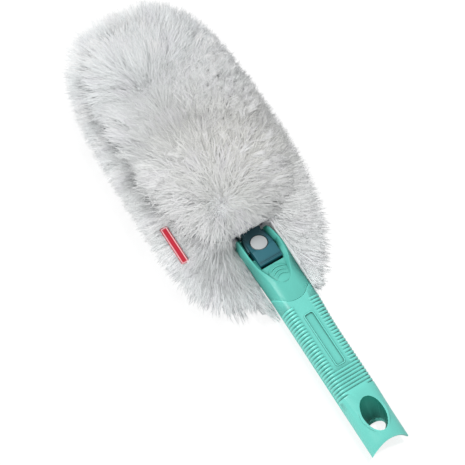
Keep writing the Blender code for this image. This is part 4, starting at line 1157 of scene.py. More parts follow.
    def flow(self, x: Array, y: Array) -> Array:
        """Directions in plan that the mound's pile is combed in.

        Args:
            x: Places along the duster.
            y: Places across it.

        Returns:
            One unit direction for each place: away from the rear whorl, then away from the tip whorl.
        """
        points = np.stack([x, y], 1)
        rear = unit(points - np.array(self.rear_whorl))
        tip = unit(points - np.array(self.tip_whorl))
        share = smooth((self.tip_whorl[0] + self.tip_shift - x) / self.tip_run)[:, None]
        way = unit(rear * (1.0 - share) + tip * share * 1.6 + self.outward(x, y) * 0.25)
        return turned(way, self.swirl(x, y))


def unit(vectors: Array) -> Array:
    """Vectors made one long."""
    return vectors / np.maximum(np.linalg.norm(vectors, axis=1, keepdims=True), 1e-9)


def laid_flat(ways: Array) -> Array:
    """Plan directions as level directions in space."""
    return np.stack([ways[:, 0], ways[:, 1], np.zeros(len(ways))], 1)


def upward(rises: Array) -> Array:
    """Upright vectors of these heights."""
    return np.stack([0.0 * rises, 0.0 * rises, rises], 1)


def nearest_seed(seeds: Array, places: Array) -> Array:
    """Finds the seed that lies nearest to each place.

    Args:
        seeds: Points in space.
        places: Points in space.

    Returns:
        A seed's number for each place.
    """
    tree = KDTree(len(seeds))
    for number, seed in enumerate(seeds):
        tree.insert(Vector(seed), number)
    tree.balance()
    return np.array([tree.find(Vector(place))[1] for place in places])


def smooth(value: Array) -> Array:
    """A soft step from 0 to 1."""
    held = np.clip(value, 0.0, 1.0)
    return held * held * (3.0 - 2.0 * held)


def soft_step(value: Array, span: Span) -> Array:
    """A soft step from 0 at a span's start to 1 at the end of its run."""
    start, run = span
    return smooth((value - start) / run)


def near(x: Array, y: Array, centre: Spot, radius: float) -> Array:
    """1 at a centre, falling softly to 0 over a radius."""
    gap = np.hypot(x - centre[0], y - centre[1])
    return np.exp(-((gap / radius) ** 2))


@dataclass
class Roots:
    """Places on a felt where strands stand, with the felt's normals, in millimetres."""

    places: Array
    normals: Array

    def kept(self, chosen: Array) -> "Roots":
        """The roots that a mask chooses."""
        return Roots(self.places[chosen], self.normals[chosen])

    @classmethod
    def on(cls, felt: Piece, count: int, chance: np.random.Generator) -> "Roots":
        """Spreads roots evenly over a felt.

        Args:
            felt: The felt's object.
            count: How many roots.
            chance: The random source.

        Returns:
            The roots.
        """
        mesh = felt.data
        mesh.calc_loop_triangles()
        corners = np.zeros(len(mesh.loop_triangles) * 3, dtype=np.int32)
        mesh.loop_triangles.foreach_get("vertices", corners)
        triangle = (vectors(mesh.vertices, "co") / MM)[corners].reshape(-1, 3, 3)
        leaning = vectors(mesh.vertices, "normal")[corners].reshape(-1, 3, 3)
        across = np.cross(triangle[:, 1] - triangle[:, 0], triangle[:, 2] - triangle[:, 0])
        run = np.cumsum(np.linalg.norm(across, axis=1))
        draws = (np.arange(count) + chance.uniform(0.0, 1.0, count)) / count * run[-1]
        picked = np.minimum(np.searchsorted(run, draws), len(run) - 1)
        first, second = chance.uniform(0.0, 1.0, (2, count))
        fold = first + second > 1.0
        first, second = np.where(fold, 1.0 - first, first), np.where(fold, 1.0 - second, second)
        shares = np.stack([1.0 - first - second, first, second], 1)[:, :, None]
        return cls(np.sum(triangle[picked] * shares, 1), unit(np.sum(leaning[picked] * shares, 1)))


# How ragged the locks' borders are, in millimetres, and how far lifts and shades differ
LOCK_RAGGEDNESS = 1.2
MOST_LIFT = 1.6
LOCK_SHADE_SPREAD = 0.025


@dataclass
class Locks:
    """Groups of neighbouring strands that turn, lift and shine alike, one value for each strand."""

    turn: Array
    lift: Array
    shade: Array

    @classmethod
    def over(cls, roots: Roots, count: int, turn: float, chance: np.random.Generator) -> "Locks":
        """Sorts roots into locks by the nearest of some chosen roots.

        Args:
            roots: The roots.
            count: How many locks.
            turn: How far a lock turns from the combing, in radians.
            chance: The random source.

        Returns:
            The locks' values.
        """
        seeds = roots.places[chance.choice(len(roots.places), count, replace=False)]
        spots = roots.places + chance.normal(0.0, LOCK_RAGGEDNESS, roots.places.shape)
        owner = np.argmin(np.linalg.norm(spots[:, None, :] - seeds[None], axis=2), axis=1)
        values = chance.normal(size=(3, count))[:, owner]
        lift = np.clip(values[1], -MOST_LIFT, MOST_LIFT)
        return cls(values[0] * turn, lift, 1.0 + values[2] * LOCK_SHADE_SPREAD)


def turned(ways: Array, angle: Array) -> Array:
    """Plan directions turned by angles in radians."""
    x, y = ways[:, 0], ways[:, 1]
    return np.stack([x * np.cos(angle) - y * np.sin(angle), x * np.sin(angle) + y * np.cos(angle)], 1)


@dataclass
class Strands:
    """A crop of pile strands, in millimetres."""

    roots: Array
    normals: Array
    rise: Array
    end: Array
    length: Array
    clump: Array
    clump_size: float
    # Brightness of each strand: its lock's own tone where it has one, with any painted light and shade of its
    # crop
    shade: Array
    width: float = 0.25
    wave: float = 1.4
    # Painted shade at a strand's root and painted highlight at its tip
    root_shade: float = 0.93
    tip_shade: float = 1.03
    over_block: bool = False
    stations: tuple[float, ...] = (0.0, 0.3, 0.56, 0.8, 1.0)
    # How often and to what share a strand that ends too far out is shortened
    trims: int = 12
    trim_share: float = 0.88
    # How the length, the tufts' pull and the sway are set
    stretch: float = 1.2
    pull_shares: Span = (0.4, 1.0)
    pull_power: float = 1.4
    sway_turns: float = 2.5

    def curves(self, head: HeadShape, chance: np.random.Generator) -> Array:
        """Lays the strands out.

        Args:
            head: The head's shape, which bounds the pile.
            chance: The random source.

        Returns:
            Points by strand, station and axis.
        """
        start, end = unit(self.rise), unit(self.end)
        steps = np.array(self.stations)
        lean = (steps - steps**2 / 2)[None, :, None]
        bend = (steps**2 / 2)[None, :, None]
        reach = self.length[:, None, None] * self.stretch
        paths = reach * (start[:, None, :] * lean + end[:, None, :] * bend)
        points = self.gather(self.roots[:, None, :] + paths, steps, chance)
        phase = chance.uniform(0.0, ROUND_TURN, (len(self.roots), 2))
        side = unit(np.cross(end, chance.normal(size=end.shape)))
        turns = phase[:, :1] + steps[None, :] * (self.sway_turns + phase[:, 1:])
        sway = np.sin(turns) * steps[None, :] * self.wave
        points = points + side[:, None, :] * sway[:, :, None]
        points = self.keep_inside(points, head, chance)
        return points if self.over_block else self.keep_off_grip(points, head)

    def gather(self, points: Array, steps: Array, chance: np.random.Generator) -> Array:
        """Draws the tips of neighbouring strands together into tufts.

        Args:
            points: Points by strand, station and axis.
            steps: The stations' shares of the length.
            chance: The random source.

        Returns:
            The gathered points.
        """
        count = len(points)
        seeds = max(int(count / self.clump_size), 1)
        chosen = chance.choice(count, seeds, replace=False)
        owner = chosen[nearest_seed(points[chosen, 1], points[:, 1])]
        shift = points[owner] - points
        pull = (self.clump * chance.uniform(*self.pull_shares, count))[:, None]
        pull = pull * steps[None, :] ** self.pull_power
        return points + shift * pull[:, :, None]

    def keep_inside(self, points: Array, head: HeadShape, chance: np.random.Generator) -> Array:
        """Keeps the strands inside the head's outline, off its label and above the floor.

        Args:
            points: Points by strand, station and axis.
            head: The head's shape.
            chance: The random source.

        Returns:
            The bounded points.
        """
        limit = np.minimum(chance.normal(*head.end_reach_shares, len(points)), head.most_reach_share)
        for _ in range(self.trims):
            over = (head.reach_at(points[:, -1]) > limit) | head.over_label(points)
            shrink = np.where(over, self.trim_share, 1.0)[:, None, None]
            points = points[:, :1] + (points - points[:, :1]) * shrink
        z = points[:, :, 2]
        z = np.where(z > head.crest, head.crest + (z - head.crest) * head.crest_give, z)
        points[:, :, 2] = np.maximum(z, head.floor_gap)
        return points

    def keep_off_grip(self, points: Array, head: HeadShape) -> Array:
        """Pushes strands that would cross the grip to its side.

        Args:
            points: Points by strand, station and axis.
            head: The head's shape.

        Returns:
            The pushed points.
        """
        low, high = head.grip_sides(points[:, :, 2])
        y = points[:, :, 1]
        before = (y[:, :1] > low[:, :1]) & (y[:, :1] < high[:, :1]) & (points[:, :1, 0] < head.grip_front)
        points[:, :, 0] = np.where(before, np.minimum(points[:, :, 0], head.grip_front), points[:, :, 0])
        beside = (points[:, :, 0] > head.grip_front) & (y > low) & (y < high)
        points[:, :, 1] = np.where(beside, np.where(y < 0, low, high), y)
        least, more = head.hollow_level_shares
        level = least + more * np.mod(points[:, :1, 0] * 13.37 + points[:, :1, 1] * 7.91, 1.0)
        top = np.where(y < 0, head.hollow_top(points[:, :, 0], y) * level, head.open_height)
        held = np.minimum(points[:, :, 2], np.maximum(top, head.least_top))
        points[:, :, 2] = np.where(points[:, :, 0] > 0.0, held, points[:, :, 2])
        return points


@dataclass
class PileMesh:
    """Turns strand curves into thin closed tapering yarns."""

    name: str
    width: float
    taper: tuple[float, ...] = (1.0, 1.0, 0.9, 0.7)
    thickness_shares: Span = (0.75, 1.25)

    def build(
        self, points: Array, normals: Array, tint_and_painted_light: Array, chance: np.random.Generator
    ) -> Piece:
        """Makes one mesh of the strands.

        Args:
            points: Points by strand, station and axis, in millimetres.
            normals: The pile's normal at each strand.
            tint_and_painted_light: Colour by strand and station, with its painted light and shade.
            chance: The random source.

        Returns:
            The object, at the origin.
        """
        count, stations = points.shape[:2]
        along = np.zeros_like(points)
        along[:, 1:-1] = points[:, 2:] - points[:, :-2]
        along[:, 0] = points[:, 1] - points[:, 0]
        along[:, -1] = points[:, -1] - points[:, -2]
        along /= np.maximum(np.linalg.norm(along, axis=2, keepdims=True), 1e-9)
        spin = unit(chance.normal(size=(count, 3)))[:, None, :]
        across = np.cross(along, np.broadcast_to(spin, along.shape))
        across /= np.maximum(np.linalg.norm(across, axis=2, keepdims=True), 1e-9)
        up = np.cross(along, across)
        rings = stations - 1
        verts = np.zeros((count, rings * 3 + 1, 3))
        thick = self.width * chance.uniform(*self.thickness_shares, count)
        for ring in range(rings):
            for corner in range(3):
                turn = 2.0 * math.pi * corner / 3
                out = across[:, ring] * math.cos(turn) + up[:, ring] * math.sin(turn)
                verts[:, ring * 3 + corner] = points[:, ring] + out * (thick * self.taper[ring])[:, None]
        verts[:, -1] = points[:, -1]
        every = self.faces(count, rings)
        colours = np.ones((count, rings * 3 + 1, 4))
        colours[:, :-1, :3] = np.repeat(tint_and_painted_light[:, :-1], 3, axis=1)
        colours[:, -1, :3] = tint_and_painted_light[:, -1]
        mesh = bpy.data.meshes.new(self.name)
        mesh.vertices.add(verts.shape[0] * verts.shape[1])
        mesh.vertices.foreach_set("co", (verts * MM).reshape(-1))
        mesh.loops.add(every.size)
        mesh.loops.foreach_set("vertex_index", every.reshape(-1))
        mesh.polygons.add(len(every))
        mesh.polygons.foreach_set("loop_start", np.arange(0, every.size, 3))
        mesh.update(calc_edges=True)
        # Each point's colour, with its painted light and shade
        layer = mesh.attributes.new("pile_tint_and_painted_light", "FLOAT_COLOR", "POINT")
        layer.data.foreach_set("color", colours.reshape(-1))
        facing = mesh.attributes.new("pile_normal", "FLOAT_VECTOR", "POINT")
        facing.data.foreach_set("vector", np.repeat(normals, verts.shape[1], axis=0).reshape(-1))
        mesh.validate()
        mesh.shade_smooth()
        piece = bpy.data.objects.new(self.name, mesh)
        bpy.context.scene.collection.objects.link(piece)
        return piece

    def faces(self, count: int, rings: int) -> Array:
        """Triangles of every strand: a root cap, sides and a pointed end.

        Args:
            count: How many strands.
            rings: How many rings of three points each strand has.

        Returns:
            The points' numbers, three to a triangle.
        """
        faces = [(2, 1, 0)]
        for ring in range(rings - 1):
            for corner in range(3):
                after = (corner + 1) % 3
                low, high = ring * 3, (ring + 1) * 3
                faces.append((low + corner, low + after, high + after))
                faces.append((low + corner, high + after, high + corner))
        last = (rings - 1) * 3
        faces.extend((last + corner, last + (corner + 1) % 3, rings * 3) for corner in range(3))
        stride = rings * 3 + 1
        return (np.array(faces)[None] + (np.arange(count) * stride)[:, None, None]).reshape(-1, 3)


@dataclass(frozen=True)
class CropStyle:
    """What sets a crop apart: its locks, their turn, its length and spread in millimetres, and its tufts."""

    locks: int
    turn: float
    length: float
    spread: float
    tuft_size: float


@dataclass
class Cover:
    """The fluffy cover: its felts, its pile, the mouth band and the side label."""

    head: HeadShape = field(default_factory=HeadShape)
    fleece: KnittedCloth = KnittedCloth("lilac_white_fleece", (0.66, 0.64, 0.72), 700.0, 0.0005, 0.6)
    knit: KnittedCloth = KnittedCloth("backing_knit", (0.72, 0.72, 0.72))
    paddle: MouldedPlastic = MouldedPlastic("paddle_plastic", (0.72, 0.73, 0.72), 0.45)
    cool: Colour = (0.88, 0.905, 0.912)
    warm: Colour = (0.88, 0.876, 0.845)
    lilac: Colour = (0.90, 0.885, 0.925)
    warm_centre: Spot = (-48.0, 12.0)
    mound_count: int = 34000
    edge_count: int = 27000
    skirt_count: int = 3500
    wisp_count: int = 2200
    front_wisp_count: int = 22
    flank_tuft_count: int = 115
    row_tuft_count: int = 26
    tuft_strands: int = 24
    strands_a_mesh: int = 8400
    mound_style: CropStyle = CropStyle(420, 0.26, 15.5, 1.6, 9.0)
    ruffled_style: CropStyle = CropStyle(240, 0.7, 15.0, 1.0, 14.0)
    edge_style: CropStyle = CropStyle(330, 0.16, 22.0, 2.5, 15.0)
    # What lengthens the mound's strands: lying flat, a lock's lift, the sides, the left flank and a row
    lying_gain: float = 6.0
    lift_gain: float = 1.2
    overhang: float = 9.0
    flank_gain: float = 2.5
    row_gain: float = 2.4
    # Where the pile whirls, where it lies down, and where the left flank hangs, across and along the duster
    whirl_radius: float = 14.0
    lying_span: Span = (2.0, 26.0)
    left_share: float = 0.45
    left_across: Span = (26.0, 14.0)
    left_along: Span = (-172.0, 26.0)
    steep_side: float = 0.85
    side_run: float = 0.7
    # Over the block the mound's strands are cut to a share of their length
    front_half_width: float = 18.0
    front_line: float = -14.0
    front_cut_share: float = 0.64
    # The ruffled tufts' way, and how much more the lifted ones differ in length
    ruffled_way: Spot = (-0.25, 0.8)
    ruffled_gain: float = 2.2
    # The rim: where it is combed away from the whorl, where it lies along the grip, and its cut there
    rear_span: Span = (-10.0, 40.0)
    away_share: float = 0.55
    inward_span: Span = (0.1, 0.5)
    beside_half_width: float = 34.0
    beside_fade: float = 10.0
    beside_span: Span = (2.0, 8.0)
    beside_cut: float = 7.0
    # The rim's strands gather more past this place, and form tufts at the left before it
    gathered_span: Span = (5.0, 15.0)
    fringe_across: Span = (12.0, 24.0)
    fringe_end: Span = (-5.0, 15.0)
    # The skirt under the rim, which is open at the grip
    skirt_length: float = 16.0
    skirt_spread: float = 1.5
    skirt_half_gap: float = 22.0
    # The wisps round the rear whorl, and the half width and start of the place that they leave free
    wisp_reach: float = 58.0
    wisp_lengths: Span = (17.0, 29.0)
    wisp_front: Span = (22.0, -21.0)
    # The curled tufts: the flank's ends, its line across, its dip, and the row's turns in degrees and its gap
    flank_span: Span = (-142.0, -26.0)
    flank_line: float = 39.0
    flank_dip: float = 11.0
    flank_dip_span: Span = (-54.0, 24.0)
    flank_spread: float = 6.5
    row_turns: Span = (140.0, 250.0)
    row_gap: Span = (47.0, 2.0)
    curl_lengths: Span = (14.5, 18.5)
    # The strands over the block's front corner
    front_wisp_x: Span = (-10.0, 0.0)
    front_wisp_y: Span = (-13.0, 1.0)
    front_wisp_height: float = 33.0
    front_wisp_lengths: Span = (12.0, 19.0)
    # The felts, in metres: how far each is drawn in, and the size of their faces
    mound_inset: float = 0.0045
    edge_inset: float = 0.0035
    under_inset: float = 0.0006
    felt_face: float = 0.003
    # How far out a felt reaches in the outline, found for each sector of it
    sectors: int = 60
    felt_reach: float = 0.81
    felt_moved_span: Span = (0.45, 0.5)
    # The felt beside the grip: where it is pressed away from the bed, with how much room, and how low it lies
    bed_lead: float = 6.0
    pressed_half_widths: Span = (22.5, 40.0)
    bed_room: float = 0.6
    felt_height_share: float = 0.72
    felt_drop: float = 2.0
    # The rim's tufts at the left, which also set its painted light and shade
    fringe_radius: float = 105.0
    fringe_pitch: float = 27.0
    # Painted light and shade: soft bright and dim areas of the pile, by centre, radius and gain
    shade_spots: tuple[tuple[Spot, float, float], ...] = (
        ((-172.0, -4.0), 36.0, 0.045),
        ((-124.0, -14.0), 20.0, -0.09),
        ((-72.0, -12.0), 30.0, -0.2),
        ((-98.0, 36.0), 28.0, -0.14),
        ((-62.0, 38.0), 18.0, -0.09),
        ((-32.0, 30.0), 12.0, -0.08),
        ((-55.0, 20.0), 24.0, -0.09),
        ((16.0, -46.0), 12.0, -0.07),
        ((2.0, 34.0), 26.0, 0.08),
        ((35.0, -50.0), 20.0, -0.06),
        ((-20.0, -42.0), 18.0, 0.07),
        ((30.0, -23.0), 12.0, -0.16),
    )
    # How the colour changes over the pile and from strand to strand
    warm_reach: float = 58.0
    blush_share: float = 0.6
    patch_gain: float = 0.045
    strand_gain: float = 0.04
    shade_limits: Span = (0.05, 0.97)
    seed: int = 7
    chance: np.random.Generator = field(init=False)
    yarn: bpy.types.Material = field(init=False)
    felt_cloth: bpy.types.Material = field(init=False)

    def build(self) -> list[Piece]:
        """Builds and dresses the cover's pieces.

        Returns:
            The pieces.
        """
        self.chance = np.random.default_rng(self.seed)
        self.yarn = PileYarn().build()
        self.felt_cloth = PileYarn("pile_felt", clearness=0.2, shadow_thinness=0.72).build()
        mound = self.felt("upper_pile", "mound_felt", self.mound_inset)
        edge = self.felt("edge_pile", "edge_felt", self.edge_inset)
        under = self.felt("lower_pile", "under_felt", self.under_inset)
        mound_roots = Roots.on(mound, self.mound_count, self.chance)
        x, y = mound_roots.places[:, 0], mound_roots.places[:, 1]
        mess = near(x, y, self.head.mess_centre, self.head.mess_radius)
        ruffled = self.chance.uniform(0.0, 1.0, len(mess)) < mess * 1.3 - 0.15
        crops = {
            "mound_pile": self.mound_crop(mound_roots.kept(~ruffled)),
            "ruffled_pile": self.ruffled_crop(mound_roots.kept(ruffled)),
            "edge_pile": self.edge_crop(Roots.on(edge, self.edge_count, self.chance)),
            "skirt_pile": self.skirt_crop(Roots.on(under, self.skirt_count * 4, self.chance)),
            "wisp_pile": self.wisp_crop(Roots.on(mound, self.wisp_count * 4, self.chance)),
            "curled_tufts": self.curled_tufts(mound_roots),
            "front_wisps": self.front_wisps(),
        }
        pieces = [mound, edge, under]
        for name, crop in crops.items():
            pieces.extend(self.grow(name, crop))
        pieces.extend(self.trim())
        return pieces

    def felt(self, node: str, name: str, inset: float) -> Piece:
        """Makes the felt that the strands stand in: a CAD pile's copy, drawn in.

        Args:
            node: The CAD pile.
            name: The felt's name.
            inset: How far it is drawn in, in metres.

        Returns:
            The felt, dressed.
        """
        piece = merged_copy(node, name)
        remesh = piece.modifiers.new("even_faces", "REMESH")
        remesh.mode = "VOXEL"
        remesh.voxel_size = self.felt_face
        draw_in = piece.modifiers.new("drawn_in", "DISPLACE")
        draw_in.strength = -inset
        draw_in.mid_level = 0.0
        relax = piece.modifiers.new("relaxed", "SMOOTH")
        relax.factor = 0.5
        relax.iterations = 4
        select_only(piece)
        for step in ("even_faces", "drawn_in", "relaxed"):
            bpy.ops.object.modifier_apply(modifier=step)
        move_points(piece, self.drawn_in)
        piece.data.shade_smooth()
        layer = piece.data.attributes.new("pile_tint_and_painted_light", "FLOAT_COLOR", "POINT")
        count = len(piece.data.vertices)
        layer.data.foreach_set("color", np.tile(np.array([*self.cool, 1.0]), count))
        facing = piece.data.attributes.new("pile_normal", "FLOAT_VECTOR", "POINT")
        facing.data.foreach_set("vector", vectors(piece.data.vertices, "normal").reshape(-1))
        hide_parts(node)
        return dress(piece, self.felt_cloth, Body.HEAD)

    def drawn_in(self, spots: Array) -> Array:
        """Draws a felt in along plan rays to where the photographed outline has room for its strands.

        Args:
            spots: The felt's points, in millimetres.

        Returns:
            The moved points.
        """
        head = self.head
        reach = head.reach_at(spots)
        turn = np.arctan2(spots[:, 1], spots[:, 0] - head.centre_x)
        sector = np.minimum(((turn / math.tau + 0.5) * self.sectors).astype(int), self.sectors - 1)
        edge = np.zeros(self.sectors)
        np.maximum.at(edge, sector, reach)
        edge = (edge + np.roll(edge, 1) + np.roll(edge, -1)) / 3
        place = (turn / math.tau + 0.5) * self.sectors - 0.5
        closed_edge = np.concatenate([edge[-1:], edge, edge[:1]])
        edge_here = np.interp(place, np.arange(-1, self.sectors + 1), closed_edge)
        wanted = np.minimum(self.felt_reach / edge_here, 1.0)
        share = 1.0 + (wanted - 1.0) * soft_step(reach / edge_here, self.felt_moved_span)
        off_grip = np.abs(spots[:, 1]) > head.grip_half_width
        beside = (spots[:, 0] > head.grip_front - self.bed_lead) & off_grip
        spots[:, 0] = head.centre_x + (spots[:, 0] - head.centre_x) * share
        spots[:, 1] *= share
        low, high = head.grip_sides(spots[:, 2])
        room = np.where(spots[:, 1] < 0, -low, high) + self.bed_room
        across = np.abs(spots[:, 1])
        inner, outer = self.pressed_half_widths
        closed = room + (across - inner) * (outer - room) / (outer - inner)
        held = np.sign(spots[:, 1]) * np.where(across < outer, np.maximum(closed, room), across)
        spots[:, 1] = np.where(beside, held, spots[:, 1])
        top = head.hollow_top(spots[:, 0], spots[:, 1]) * self.felt_height_share - self.felt_drop
        spots[:, 2] = np.minimum(spots[:, 2], top)
        return spots

    def mound_crop(self, roots: Roots) -> Strands:
        """The combed pile on the mound, with its two whorls.

        Args:
            roots: Places on the mound's felt.

        Returns:
            The strands.
        """
        roots = roots.kept(roots.normals[:, 2] > -0.1)
        x, y = roots.places[:, 0], roots.places[:, 1]
        head = self.head
        style = self.mound_style
        locks = Locks.over(roots, style.locks, style.turn, self.chance)
        rows = head.rows(x, y)
        rear_gap = np.hypot(x - head.rear_whorl[0], y - head.rear_whorl[1])
        tip_gap = np.hypot(x - head.tip_whorl[0], y - head.tip_whorl[1])
        gap = np.minimum(rear_gap, tip_gap)
        flow = turned(head.flow(x, y), locks.turn)
        whirl = smooth(1.0 - gap / self.whirl_radius)
        stray = self.chance.normal(size=flow.shape) * (0.16 + 0.9 * whirl)[:, None]
        flow = unit(flow + stray)
        lying = soft_step(gap, self.lying_span)
        comb = laid_flat(flow)
        normal = roots.normals
        left = self.left_share * soft_step(-y, self.left_across) * soft_step(x, self.left_along)
        side = smooth((self.steep_side - normal[:, 2]) / self.side_run)
        over = side * (1.0 - left)
        tangent = unit(comb - normal * (np.sum(comb * normal, 1) * 0.75 * (1.0 - over))[:, None])
        stand = 1.0 - 0.4 * lying + 0.12 * locks.lift + 0.3 * rows
        rise = normal * stand[:, None] + tangent * (0.3 + 0.65 * lying)[:, None]
        end = tangent * (0.45 + 0.85 * lying)[:, None] + normal * (0.42 - 0.42 * lying)[:, None]
        end[:, 2] += 0.06 * locks.lift - 0.3 * side * left - 0.16 * over
        length = style.length + self.lying_gain * lying + self.lift_gain * locks.lift
        length = length + self.chance.normal(0.0, style.spread, len(x)) + self.overhang * over
        length = length + self.flank_gain * side * left
        front = (np.abs(y) < self.front_half_width) & (x > self.front_line)
        length = np.where(front, length * self.front_cut_share, length)
        length += self.row_gain * rows
        clump = 0.14 + 0.14 * self.chance.uniform(0.0, 1.0, len(x))
        # Painted light and shade along the rows: lighter on a row's crest, darker between rows
        shade = locks.shade * (1.0 + 0.06 * rows)
        return Strands(roots.places, normal, rise, end, length, clump, style.tuft_size, shade)

    def ruffled_crop(self, roots: Roots) -> Strands:
        """The ruffled patch at the mound's right, whose tufts stand up, with painted shade at their roots and
        painted highlights at their tips.

        Args:
            roots: Places on the mound's felt.

        Returns:
            The strands.
        """
        roots = roots.kept(roots.normals[:, 2] > 0.05)
        style = self.ruffled_style
        locks = Locks.over(roots, style.locks, style.turn, self.chance)
        flow = self.head.flow(roots.places[:, 0], roots.places[:, 1]) * 0.6 + np.array(self.ruffled_way)
        flow = turned(unit(flow + self.chance.normal(size=flow.shape) * 0.2), locks.turn)
        comb = laid_flat(flow)
        rise = roots.normals + comb * 0.25
        end = comb * (0.75 - 0.15 * locks.lift)[:, None] + roots.normals * 0.5
        length = style.length + self.ruffled_gain * locks.lift
        length = length + self.chance.normal(0.0, style.spread, len(flow))
        clump = np.full(len(flow), 0.9)
        # Painted shade at the roots and painted highlights at the tips
        return Strands(
            roots.places, roots.normals, rise, end, length, clump, style.tuft_size, locks.shade,
            width=0.25, wave=2.6, root_shade=0.8, tip_shade=1.14,
        )

    def edge_crop(self, roots: Roots) -> Strands:
        """The straight pile round the rim and beside the grip.

        Args:
            roots: Places on the rim's felt.

        Returns:
            The strands.
        """
        roots = roots.kept(roots.normals[:, 2] > -0.75)
        x, y = roots.places[:, 0], roots.places[:, 1]
        chance, head, normal = self.chance, self.head, roots.normals
        style = self.edge_style
        locks = Locks.over(roots, style.locks, style.turn, chance)
        out = head.outward(x, y)
        away = unit(np.stack([x, y], 1) - np.array(head.rear_whorl))
        rear = soft_step(x, self.rear_span)[:, None]
        inward = soft_step(-normal[:, 1] * np.sign(y), self.inward_span)
        at_grip = smooth((self.beside_half_width - np.abs(y)) / self.beside_fade)
        beside = (inward * at_grip * soft_step(x, self.beside_span))[:, None]
        along = unit(np.stack([np.full(len(x), 0.9), -0.5 * np.sign(y)], 1))
        way = out * (1.0 - self.away_share * rear) + away * self.away_share * rear
        way = unit(way * (1.0 - beside) + along * beside + chance.normal(size=out.shape) * 0.12)
        way = turned(way, locks.turn)
        comb = laid_flat(way)
        rise = normal * (0.75 + 0.1 * locks.lift)[:, None] + comb * 0.8
        end = comb + upward(0.1 + 0.08 * locks.lift)
        length = style.length + chance.normal(0.0, style.spread, len(x)) - self.beside_cut * beside[:, 0]
        clump = 0.34 + 0.14 * soft_step(x, self.gathered_span)
        left = soft_step(-y, self.fringe_across) * (1.0 - soft_step(x, self.fringe_end))
        arc = np.arctan2(y, x - head.centre_x) * self.fringe_radius
        tuft = smooth(0.5 + 0.9 * np.sin(math.tau * arc / self.fringe_pitch + 1.2 * np.sin(arc / 17.0)))
        clump += left * (0.5 * tuft - 0.3)
        length += left * 2.5 * tuft
        # Painted light and shade on the left rim: lighter on its tufts, darker between them
        shade = locks.shade * (1.0 + left * (0.15 * tuft - 0.09))
        return Strands(roots.places, normal, rise, end, length, clump, style.tuft_size, shade)

    def skirt_crop(self, roots: Roots) -> Strands:
        """The pressed pile under the rim, down to the surface.

        Args:
            roots: Places on the lower felt.

        Returns:
            The strands.
        """
        x, y = roots.places[:, 0], roots.places[:, 1]
        on_side = (self.head.reach(x, y) > 0.7) & (np.abs(roots.normals[:, 2]) < 0.8)
        roots = roots.kept(on_side & ~((x > 0.0) & (np.abs(y) < self.skirt_half_gap)))
        x, y = roots.places[:, 0], roots.places[:, 1]
        out = unit(self.head.outward(x, y) + self.chance.normal(size=(len(x), 2)) * 0.12)
        comb = laid_flat(out)
        even = np.ones_like(x)
        rise = comb + upward(even * 0.1)
        length = self.skirt_length + self.chance.normal(0.0, self.skirt_spread, len(x))
        return Strands(roots.places, roots.normals, rise, comb, length, even * 0.4, 12.0, even)

    def wisp_crop(self, roots: Roots) -> Strands:
        """Long strands that curl over the rest round the rear whorl, brighter than the rest by painted
        highlight.

        Args:
            roots: Places on the mound's felt.

        Returns:
            The strands.
        """
        x, y = roots.places[:, 0], roots.places[:, 1]
        gap = np.hypot(x - self.head.rear_whorl[0], y - self.head.rear_whorl[1])
        half_width, line = self.wisp_front
        front = (np.abs(y) < half_width) & (x > line)
        mess = near(x, y, self.head.mess_centre, self.head.mess_radius) > 0.35
        roots = roots.kept(((gap < self.wisp_reach) | mess) & ~front & (roots.normals[:, 2] > 0.3))
        x, y = roots.places[:, 0], roots.places[:, 1]
        flow = unit(self.head.flow(x, y) + self.chance.normal(size=(len(x), 2)) * 0.45)
        comb = laid_flat(flow)
        even = np.ones_like(x)
        rise = roots.normals + comb * 0.7
        end = comb + upward(even * -0.4)
        length = self.chance.uniform(*self.wisp_lengths, len(x))
        # Painted highlight: the wisps are drawn brighter than the rest of the pile
        return Strands(
            roots.places, roots.normals, rise, end, length, even * 0.1, 5.0, even * 1.2, width=0.34, wave=4.5
        )

    def curled_tufts(self, roots: Roots) -> Strands:
        """The small curled tufts along the mound's right flank and on a row left of the rear whorl, brighter
        by painted highlight.

        Args:
            roots: Places on the mound's felt.

        Returns:
            The strands, a fixed number to each tuft.
        """
        chance, head = self.chance, self.head
        flank, row = self.flank_tuft_count, self.row_tuft_count
        x = chance.uniform(*self.flank_span, flank)
        line = self.flank_line - self.flank_dip * soft_step(x, self.flank_dip_span)
        y = line + chance.normal(0.0, self.flank_spread, flank)
        turn = chance.uniform(*map(math.radians, self.row_turns), row)
        gap = chance.normal(*self.row_gap, row)
        x = np.concatenate([x, head.rear_whorl[0] + gap * np.cos(turn)])
        y = np.concatenate([y, head.rear_whorl[1] + gap * np.sin(turn)])
        each = self.tuft_strands
        seeds = nearest_seed(laid_flat(roots.places), laid_flat(np.stack([x, y], 1)))
        owner = np.repeat(seeds, each)
        places = roots.places[owner] + chance.normal(0.0, 1.3, (len(owner), 3))
        flow = turned(head.flow(x, y), chance.normal(0.0, 0.8, len(x)))
        comb = np.repeat(laid_flat(flow), each, axis=0)
        normal = roots.normals[owner]
        rise = normal + comb * 0.2
        end = comb * 0.9 + normal * np.repeat(chance.uniform(-0.2, 0.7, len(x)), each)[:, None]
        length = np.repeat(chance.uniform(*self.curl_lengths, len(x)), each)
        length = length + chance.normal(0.0, 0.6, len(owner))
        clump = np.full(len(owner), 0.55)
        # Painted highlight: the tufts are drawn brighter than the rest of the pile, with painted shade at
        # their roots and painted highlights at their tips
        shade = np.repeat(np.concatenate([np.full(flank, 1.24), np.full(row, 1.16)]), each)
        return Strands(
            places, normal, rise, end, length, clump, float(each), shade,
            width=0.28, wave=2.0, root_shade=0.78, tip_shade=1.12,
        )

